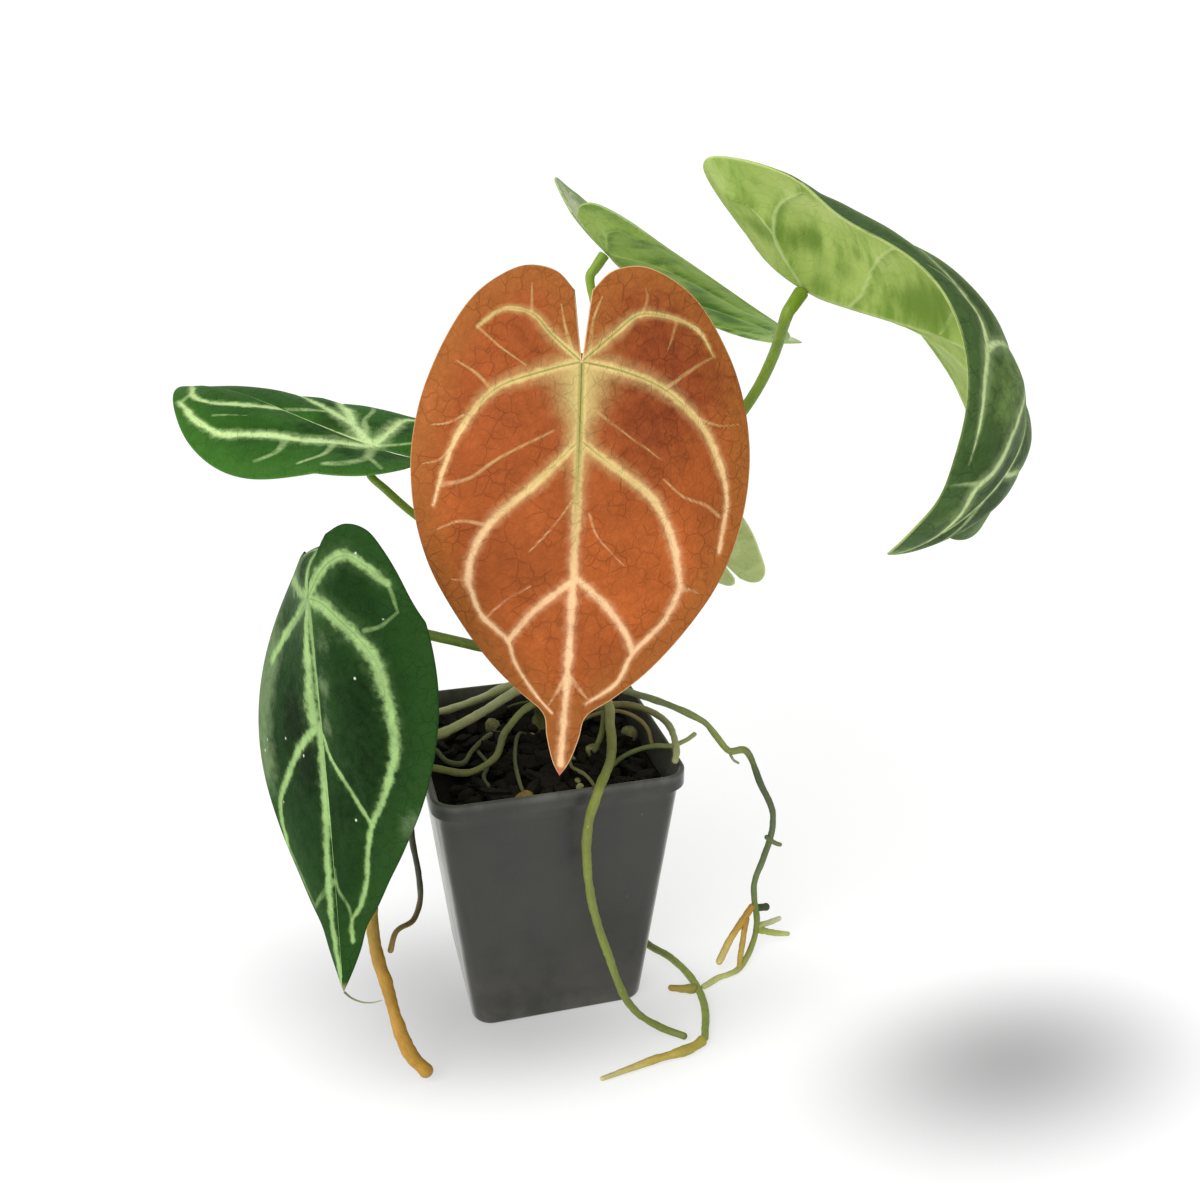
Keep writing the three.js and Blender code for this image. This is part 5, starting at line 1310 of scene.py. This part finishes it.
def midrib_frames(leaf, side):
    """Place and axes of the midrib from one lobe's end to the tip.

    The first frame is aimed by heading, pitch and roll. Towards the tip each step droops about the
    right-hand axis, sweeps about the upper one and twists about the midrib. Towards the lobe's end
    each step bends about the right-hand axis by an even share of that side's lobe bend."""
    heading, pitch, roll = (math.radians(leaf[key]) for key in ("heading", "pitch", "roll"))
    level = math.cos(pitch)
    tangent = np.array([level * math.cos(heading), level * math.sin(heading), math.sin(pitch)])
    right = np.array([math.sin(heading), -math.cos(heading), 0])
    upper = np.cross(right, tangent)
    right, upper = turned(right, tangent, roll), turned(upper, tangent, roll)
    seat = np.zeros(3)
    rows = [(0.0, seat, tangent, right, upper)]
    step = leaf["length"] / (FRAME_STEPS - 1)
    droop, sweep, twist = (math.radians(leaf[key]) for key in ("droop", "sweep", "twist"))
    for index in range(1, FRAME_STEPS):
        before, after = (index - 1) / (FRAME_STEPS - 1), index / (FRAME_STEPS - 1)
        _, place, tangent, right, upper = rows[-1]
        angle = droop * (after ** leaf["droop_power"] - before ** leaf["droop_power"])
        tangent, upper = turned(tangent, right, -angle), turned(upper, right, -angle)
        angle = sweep * (after - before)
        tangent, right = turned(tangent, upper, -angle), turned(right, upper, -angle)
        angle = twist * (after ** 1.5 - before ** 1.5)
        right, upper = turned(right, tangent, angle), turned(upper, tangent, angle)
        rows.append((index * step, place + tangent * step, tangent, right, upper))
    _, place, tangent, right, upper = rows[0]
    angle = math.radians(leaf["lobe_bend"][0 if side > 0 else 1]) / LOBE_STEPS
    step = LOBE_REACH * leaf["length"] / LOBE_STEPS
    for index in range(1, LOBE_STEPS + 1):
        tangent, upper = turned(tangent, right, -angle), turned(upper, right, -angle)
        place = place - tangent * step
        rows.insert(0, (-index * step, place, tangent, right, upper))
    return [np.array([row[item] for row in rows]) for item in range(5)]


def three_point(values, share):
    """Parabola through the values at the base, half way and the tip."""
    base, half, tip = values
    return base + (4 * half - 3 * base - tip) * share + (2 * base + 2 * tip - 4 * half) * share * share


def flat_half(leaf, rows, columns):
    """Flat half blade: rows run from the midrib out to evenly spaced points of the outline, slanted
    towards the tip as side veins are. Columns crowd at the margin. In blade lengths."""
    outline = np.array([(along, out + leaf["tip_fill"] * fill) for along, out, fill in HALF_OUTLINE])
    edge = along_curve(smooth_curve(outline, 40), np.linspace(0, 1, rows))
    start = np.clip(edge[:, 0] - ROW_SLANT * edge[:, 1], 0, 1)
    start = np.stack([start, np.zeros(rows)], -1)
    share = np.concatenate([np.linspace(0, 0.982, columns - 3), [0.99, 0.996, 1]])[None, :, None]
    return start[:, None] + (edge - start)[:, None] * share, edge


def bend_half(leaf, flat, side):
    """Flat half blade bent into space. Across the blade each row is an arc that leaves the midrib at
    the fold angle and turns evenly by the curl, and it stands in the midrib's frame at that place.
    Also gives the midrib's upper axis there."""
    along, place, _, right, upper = midrib_frames(leaf, side)
    length = leaf["length"]
    reach = flat[..., 0] * length
    out = flat[..., 1] * length * leaf["width"]

    def at(rows):
        return np.stack([np.interp(reach, along, rows[:, axis]) for axis in range(3)], -1)

    share = np.clip(flat[..., 0], 0, 1)
    lobe = np.clip(-flat[..., 0] / LOBE_REACH, 0, 1) if side > 0 else 0
    hand = "right" if side > 0 else "left"
    fold = np.radians(three_point(leaf[f"fold_{hand}"], share) + leaf["lobe_fold"] * lobe)
    curl = np.radians(three_point(leaf[f"curl_{hand}"], share) + leaf["lobe_curl"] * lobe)
    turn = curl / (length * leaf["width"] * HALF_WIDTH_SHARE)
    turn = np.where(np.abs(turn) < 1e-6, 1e-6, turn)
    across = (np.sin(fold + turn * out) - np.sin(fold)) / turn
    rise = -(np.cos(fold + turn * out) - np.cos(fold)) / turn
    axis = at(upper)
    points = at(place) + side * at(right) * across[..., None] + axis * rise[..., None]
    return points + np.array(leaf["seat"]), axis


def vein_distance(flat, veins, size):
    """Distance from flat points to the nearest vein, plain in millimetres and as a share of the vein's
    half width there. Each vein is a chain of short segments, and the distance to a segment is that to
    the point on it where a perpendicular falls, kept between its ends."""
    starts, ends, widths = [], [], []
    for start_width, end_width, points in veins:
        line = smooth_curve(np.array(points, float), 5)
        taper = np.linspace(start_width, end_width, len(line))
        starts.append(line[:-1])
        ends.append(line[1:])
        widths.append(np.stack([taper[:-1], taper[1:]], -1))
    start, end, width = np.vstack(starts) * size, np.vstack(ends) * size, np.vstack(widths)
    points = flat.reshape(-1, 1, 2) * size
    lean = end - start
    share = np.clip(((points - start) * lean).sum(-1) / ((lean ** 2).sum(-1) + 1e-9), 0, 1)
    gap = np.linalg.norm(points - start - lean * share[..., None], axis=-1)
    half = np.maximum(width[:, 0] + (width[:, 1] - width[:, 0]) * share, 0.02)
    scaled = gap / half * (100 / size[0])
    return gap.min(1).reshape(flat.shape[:2]), scaled.min(1).reshape(flat.shape[:2])


def shade_and_sheen_at(flat, side, shade_sheen_patches):
    """Sum of a blade's patches of painted shade and sheen, partly deeper and paler tone, at flat points, each
    fading as a bell curve.
    """
    total = np.zeros(flat.shape[:2])
    for along, out, reach, strength in shade_sheen_patches:
        gap = np.hypot(flat[..., 0] - along, side * flat[..., 1] - out)
        total += strength * np.exp(-(gap / reach) ** 2)
    return np.clip(total, -1, 1)


def blade_half(leaf, side, plan, shade_sheen_patches, settings, rows, columns):
    """Upper and lower surface of a half blade, and the numbers its materials read.

    Both surfaces stand off the bent sheet along its normal: by half the thickness, rounded away at
    the margin, plus a rise between the main veins, less a groove along them above and with a rib
    along them below."""
    flat, edge = flat_half(leaf, rows, columns)
    sheet, axis = bend_half(leaf, flat, side)
    normals = np.cross(np.gradient(sheet, axis=0), np.gradient(sheet, axis=1)) * side
    size = np.linalg.norm(normals, axis=-1)
    normals = np.where(size[..., None] < 1e-6, axis, normals / np.maximum(size, 1e-9)[..., None])
    normals[:, 0] = axis[:, 0]
    scale = np.array([leaf["length"], leaf["length"] * leaf["width"]])
    right, left, seat_width, tip_width = plan
    veins = right if side > 0 else left
    main = [(seat_width, tip_width, MIDRIB_PATH), *veins["main"]]
    gap, _ = vein_distance(flat, main, scale)
    _, vein = vein_distance(flat, [*main, *veins.get("bands", [])], scale)
    _, thin = vein_distance(flat, veins["thin"], scale)
    outer, _ = vein_distance(flat, [(1, 1, edge[::3]), (1, 1, edge[-1:].tolist() + [(0, 0)])], scale)
    reach = np.clip(np.hypot(flat[..., 0], flat[..., 1]), 0, 1)
    seat_gap = np.linalg.norm(flat * scale, axis=-1)
    inward = np.clip(outer / MARGIN_ROUNDING, 0, 1)
    rounded = np.sqrt(1 - (1 - inward) ** 2)
    rounded[:, -1] = 0
    rounded = np.maximum(rounded, np.exp(-(seat_gap / SEAT_REACH) ** 2))
    inside = 1 - np.exp(-(outer / MARGIN_REACH) ** 2)
    quilt = settings.quilting / MM * (1 - np.exp(-(gap / QUILT_REACH) ** 2)) * inside
    taper = (1 - TIP_FADE * reach) * inside
    groove = GROOVE_DEPTH * np.exp(-(gap / GROOVE_REACH) ** 2) * taper
    rib = MIDRIB_DEPTH * np.exp(-(gap / MIDRIB_REACH) ** 2) * taper
    half = settings.thickness / MM / 2 * rounded
    upper = sheet + normals * (half + quilt - np.minimum(groove, half))[..., None]
    lower = sheet + normals * (quilt - half - rib * rounded)[..., None]
    uv = np.stack([0.5 + side * flat[..., 1] * scale[1] / 100, flat[..., 0] * scale[0] / 100], -1)
    values = (vein, thin, outer, reach, gap, shade_and_sheen_at(flat, side, shade_sheen_patches))
    return upper, lower, uv, dict(zip(BLADE_VALUES, values))


def make_blade(name, leaf, settings):
    """Blade: both halves, each with its two surfaces, welded along the midrib and the margin."""
    fineness = BLADE_FINENESS[name]
    rows, columns = int(settings.rows * fineness), int(settings.columns * fineness)
    vertices, quads, slots, uvs = [], [], [], []
    values = {key: [] for key in BLADE_VALUES}
    first = 0
    for side in (1, -1):
        upper, lower, uv, numbers = blade_half(
            leaf, side, VEIN_PLANS[name], SHADE_AND_SHEEN_PATCHES[name], settings, rows, columns)
        count = rows * columns
        sinus = first + (rows - 1) * columns + np.arange(columns - 1)
        strip = np.stack([sinus + 1, sinus, sinus + count, sinus + count + 1], -1)
        above = grid_quads(rows, columns, first, side < 0)
        below = grid_quads(rows, columns, first + count, side > 0)
        quads += [above, below, strip if side > 0 else strip[:, ::-1]]
        slots += [np.zeros(len(above)), np.ones(len(below)), np.ones(len(strip))]
        for surface in (upper, lower):
            vertices.append(surface.reshape(-1, 3))
            uvs.append(uv.reshape(-1, 2))
            for key, rows_of in numbers.items():
                values[key].append(rows_of.ravel())
        first += 2 * count
    look = BLADE_LOOKS[name]
    materials = [blade_upper_material(f"{name}_blade", look, settings),
                 blade_under_material(f"{name}_blade", look)]
    merged = {key: np.concatenate(parts) for key, parts in values.items()}
    piece = make_piece(f"{name}_leaf_blade", np.vstack(vertices), np.vstack(quads), materials,
                       uv=np.vstack(uvs), values=merged, slots=np.concatenate(slots))
    ride(piece, [f"blade_{name}"])


def make_petiole(name, settings):
    """Petiole: a tube along its points and square to the blade at the end, swollen at that bend."""
    leaf = LEAVES[name]
    along, _, _, _, upper = midrib_frames(leaf, 1)
    axis = upper[np.argmin(np.abs(along))]
    approach = [np.array(leaf["seat"]) - axis * distance for distance in PETIOLE_APPROACH]
    thin, path = PETIOLES[name]

    def radius_at(share):
        return thin * (1 + (settings.geniculum - 1) * float(ease(1 - GENICULUM_SHARE, 1, share)))

    grid = tube([*path, *approach], radius_at, 26, 200, 0.03, 80 + len(name), flat_end=0.25)
    tints = (tuple(settings.low_color), tuple(settings.high_color))
    material = skin_material(f"petiole_{name}_skin", tints, 0.45, 0.4, 0.1)
    strand_piece(f"{name}_leaf_petiole", [grid], [material], [f"petiole_{name}"])


def make_thread():
    """Dry thread at the low blade's tip: a fine tube from the tip down and round to the right."""
    flat = np.array([[[1.0, 0.0]]])
    tip, _ = bend_half(LEAVES["low"], flat, 1)
    turn = math.radians(VIEW_AZIMUTH)
    x, y, z = np.array(THREAD_PATH).T
    across = x * math.cos(turn) - y * math.sin(turn)
    away = x * math.sin(turn) + y * math.cos(turn)
    route = tip[0, 0] + np.stack([across, away, z], -1)

    def radius_at(share):
        return THREAD_RADIUS * (1 - 0.5 * share)

    material = skin_material("dry_thread_skin", (srgb("6B6A4A"), srgb("A09C7C")), 0.3, 0.7, 0.1)
    strand_piece("dry_tip_thread", [tube(route, radius_at, 10, 60, 0.1, 90)], [material])


def add_light(name, kind, place, power, size, target):
    """Light at a place in metres, facing the target. size is an area light's side or a sun's angle."""
    data = bpy.data.lights.new(name, kind)
    data.energy = power
    if kind == "SUN":
        data.angle = size
    else:
        data.size = size
    light = bpy.data.objects.new(name, data)
    light.location = place
    light.rotation_euler = (Vector(target) - Vector(place)).to_track_quat("-Z", "Y").to_euler()
    bpy.context.scene.collection.objects.link(light)


def make_surround(settings):
    """Even white surround, seen at full white and lighting the object more softly."""
    world = bpy.data.worlds.new("surround")
    world.use_nodes = True
    nodes = Nodes(world.node_tree)
    background = world.node_tree.nodes["Background"]
    seen = nodes.add("ShaderNodeLightPath").outputs["Is Camera Ray"]
    background.inputs[0].default_value = WHITE
    inputs = {"Value": seen, "To Min": settings.surround, "To Max": SURROUND_SEEN}
    strength = nodes.add("ShaderNodeMapRange", inputs)
    nodes.put(background.inputs[1], strength.outputs[0])
    bpy.context.scene.world = world


def make_stage(settings):
    """Pale floor, even surround, soft lights and the camera at the photograph's viewing angle."""
    side = settings.floor_size / MM / 2
    places = np.linspace(-side, side, FLOOR_POINTS)
    x, y = np.meshgrid(places, places)
    vertices = np.stack([x, y, np.full(x.shape, -FLOOR_DROP)], -1).reshape(-1, 3)
    quads = grid_quads(FLOOR_POINTS, FLOOR_POINTS, flip=True)
    floor = make_piece("floor", vertices, quads, [floor_material(settings)])
    make_surround(settings)
    target = tuple(value * MM for value in VIEW_TARGET)
    add_light("key_light", "SUN", KEY_PLACE, settings.key_strength, math.radians(KEY_ANGLE), target)
    add_light("side_light", "AREA", SIDE_PLACE, settings.side_power, SIDE_SIZE, target)
    data = bpy.data.cameras.new("camera")
    data.lens = settings.lens
    data.sensor_width = SENSOR_WIDTH
    data.sensor_fit = "HORIZONTAL"
    data.clip_start, data.clip_end = CLIP
    camera = bpy.data.objects.new("camera", data)
    azimuth, down = math.radians(VIEW_AZIMUTH), math.radians(VIEW_DOWN)
    back = Vector((math.sin(azimuth) * math.cos(down), -math.cos(azimuth) * math.cos(down), math.sin(down)))
    camera.location = Vector(target) + back * (VIEW_DISTANCE * MM)
    camera.rotation_euler = (-back).to_track_quat("-Z", "Y").to_euler()
    bpy.context.scene.collection.objects.link(camera)
    bpy.context.scene.camera = camera
    bpy.context.scene.view_settings.view_transform = "Standard"


def color_property(name, description, tint):
    return FloatVectorProperty(name=name, description=description, subtype="COLOR", size=4, min=0, max=1,
                               default=srgb(tint))


class AnthuriumPotSettings(bpy.types.PropertyGroup):
    wall_color: color_property("Wall colour", "Colour of the moulded plastic", "2E2E2C")


class AnthuriumMixSettings(bpy.types.PropertyGroup):
    bark_color: color_property("Bark colour", "Colour of the damp bark", "0F0D08")
    grain_color: color_property("Grain colour", "Colour of the pale mineral grains", "A8A874")
    chip_count: IntProperty(
        name="Chips", description="How many bark chips lie on the mix", default=300, min=0)
    grain_count: IntProperty(
        name="Small grains", description="How many small pale grains are strewn", default=9, min=0)
    chip_length: FloatProperty(name="Chip length", description="Length of a middling chip", default=0.0075,
                               unit="LENGTH", subtype="DISTANCE")
    seed: IntProperty(name="Seed", description="Start of the random scatter", default=17)


class AnthuriumRootSettings(bpy.types.PropertyGroup):
    knobbliness: FloatProperty(
        name="Knobbliness", description="Unevenness of a root as a share of its radius",
        default=0.13, min=0, max=0.5, subtype="FACTOR")


class AnthuriumPetioleSettings(bpy.types.PropertyGroup):
    low_color: color_property("Lower colour", "Colour of a petiole at the stem", "5A6E30")
    high_color: color_property("Upper colour", "Colour of a petiole at the blade", "809C34")
    geniculum: FloatProperty(
        name="Geniculum swell", description="Widening of a petiole at its bend under the blade",
        default=1.3, min=1, max=2)


class AnthuriumBladeSettings(bpy.types.PropertyGroup):
    thickness: FloatProperty(name="Thickness", description="Thickness of a blade", default=0.0007,
                             unit="LENGTH", subtype="DISTANCE")
    quilting: FloatProperty(name="Quilting", description="How far the blade rises between its main veins",
                            default=0.0006, unit="LENGTH", subtype="DISTANCE")
    vein_strength: FloatProperty(name="Vein strength", description="How pale the veins are on the upper side",
                                 default=1, min=0, max=1, subtype="FACTOR")
    rows: IntProperty(
        name="Rows", description="Rows of points along the margin of a half blade", default=290, min=80)
    columns: IntProperty(
        name="Columns", description="Points from the midrib to the margin", default=76, min=30)


class AnthuriumStageSettings(bpy.types.PropertyGroup):
    floor_color: color_property("Floor colour", "Colour of the pale floor before its lift", "A4A4A4")
    floor_size: FloatProperty(name="Floor size", description="Side of the square floor", default=12,
                              unit="LENGTH", subtype="DISTANCE")
    floor_lift: FloatProperty(name="Floor lift", description="Glow that keeps the floor near white",
                              default=0.7, min=0)
    surround: FloatProperty(name="Surround", description="Strength of the even light from all round",
                            default=0.6, min=0)
    key_strength: FloatProperty(
        name="Key light", description="Strength of the soft light from the upper left", default=1.7, min=0)
    side_power: FloatProperty(name="Side light", description="Power of the light from the left",
                              default=1.2, unit="POWER")
    lens: FloatProperty(name="Lens", description="Focal length of the camera", default=36.9, unit="CAMERA")


class ANTHURIUM_OT_stage(bpy.types.Operator):
    """Makes the pale floor, the soft lights and the camera"""
    bl_idname = "anthurium.stage"
    bl_label = "Stage"

    def execute(self, context):
        make_stage(context.scene.anthurium_stage)
        return {"FINISHED"}


class ANTHURIUM_OT_pot(bpy.types.Operator):
    """Makes the square nursery pot with its drain holes"""
    bl_idname = "anthurium.pot"
    bl_label = "Pot"

    def execute(self, context):
        make_pot(context.scene.anthurium_pot)
        return {"FINISHED"}


class ANTHURIUM_OT_mix(bpy.types.Operator):
    """Makes the bark mix with its chips and pale grains"""
    bl_idname = "anthurium.mix"
    bl_label = "Bark mix"

    def execute(self, context):
        make_mix_bed(context.scene.anthurium_mix)
        make_chips(context.scene.anthurium_mix)
        return {"FINISHED"}


class ANTHURIUM_OT_roots(bpy.types.Operator):
    """Makes the short stem and the loose aerial roots"""
    bl_idname = "anthurium.roots"
    bl_label = "Stem and roots"

    def execute(self, context):
        make_stem()
        make_roots(context.scene.anthurium_roots)
        make_rootlets(context.scene.anthurium_roots)
        return {"FINISHED"}


class ANTHURIUM_OT_petioles(bpy.types.Operator):
    """Makes a petiole for each blade"""
    bl_idname = "anthurium.petioles"
    bl_label = "Petioles"

    def execute(self, context):
        for name in LEAVES:
            make_petiole(name, context.scene.anthurium_petioles)
        return {"FINISHED"}


class ANTHURIUM_OT_blades(bpy.types.Operator):
    """Makes the veined blades and the dry thread on the low one"""
    bl_idname = "anthurium.blades"
    bl_label = "Blades"

    def execute(self, context):
        for name, leaf in LEAVES.items():
            make_blade(name, leaf, context.scene.anthurium_blades)
        make_thread()
        return {"FINISHED"}


class ANTHURIUM_PT_panel(bpy.types.Panel):
    """Lists the pieces of the plant with their settings"""
    bl_idname = "ANTHURIUM_PT_panel"
    bl_label = "Anthurium"
    bl_space_type = "VIEW_3D"
    bl_region_type = "UI"
    bl_category = "Anthurium"

    def draw(self, context):
        for operator, key in PARTS:
            box = self.layout.box()
            box.operator(operator.bl_idname)
            settings = getattr(context.scene, key)
            for name in settings.__annotations__:
                box.prop(settings, name)


SETTINGS = {
    "anthurium_stage": AnthuriumStageSettings,
    "anthurium_pot": AnthuriumPotSettings,
    "anthurium_mix": AnthuriumMixSettings,
    "anthurium_roots": AnthuriumRootSettings,
    "anthurium_petioles": AnthuriumPetioleSettings,
    "anthurium_blades": AnthuriumBladeSettings,
}
PARTS = [
    (ANTHURIUM_OT_stage, "anthurium_stage"),
    (ANTHURIUM_OT_pot, "anthurium_pot"),
    (ANTHURIUM_OT_mix, "anthurium_mix"),
    (ANTHURIUM_OT_roots, "anthurium_roots"),
    (ANTHURIUM_OT_petioles, "anthurium_petioles"),
    (ANTHURIUM_OT_blades, "anthurium_blades"),
]


def register():
    for key, group in SETTINGS.items():
        bpy.utils.register_class(group)
        setattr(bpy.types.Scene, key, PointerProperty(type=group))
    for operator, _ in PARTS:
        bpy.utils.register_class(operator)
    bpy.utils.register_class(ANTHURIUM_PT_panel)


def unregister():
    bpy.utils.unregister_class(ANTHURIUM_PT_panel)
    for operator, _ in reversed(PARTS):
        bpy.utils.unregister_class(operator)
    for key, group in reversed(SETTINGS.items()):
        delattr(bpy.types.Scene, key)
        bpy.utils.unregister_class(group)


def main():
    register()
    bpy.ops.anthurium.stage()
    bpy.ops.anthurium.pot()
    bpy.ops.anthurium.mix()
    bpy.ops.anthurium.roots()
    bpy.ops.anthurium.petioles()
    bpy.ops.anthurium.blades()
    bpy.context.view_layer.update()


if __name__ == "__main__":
    main()
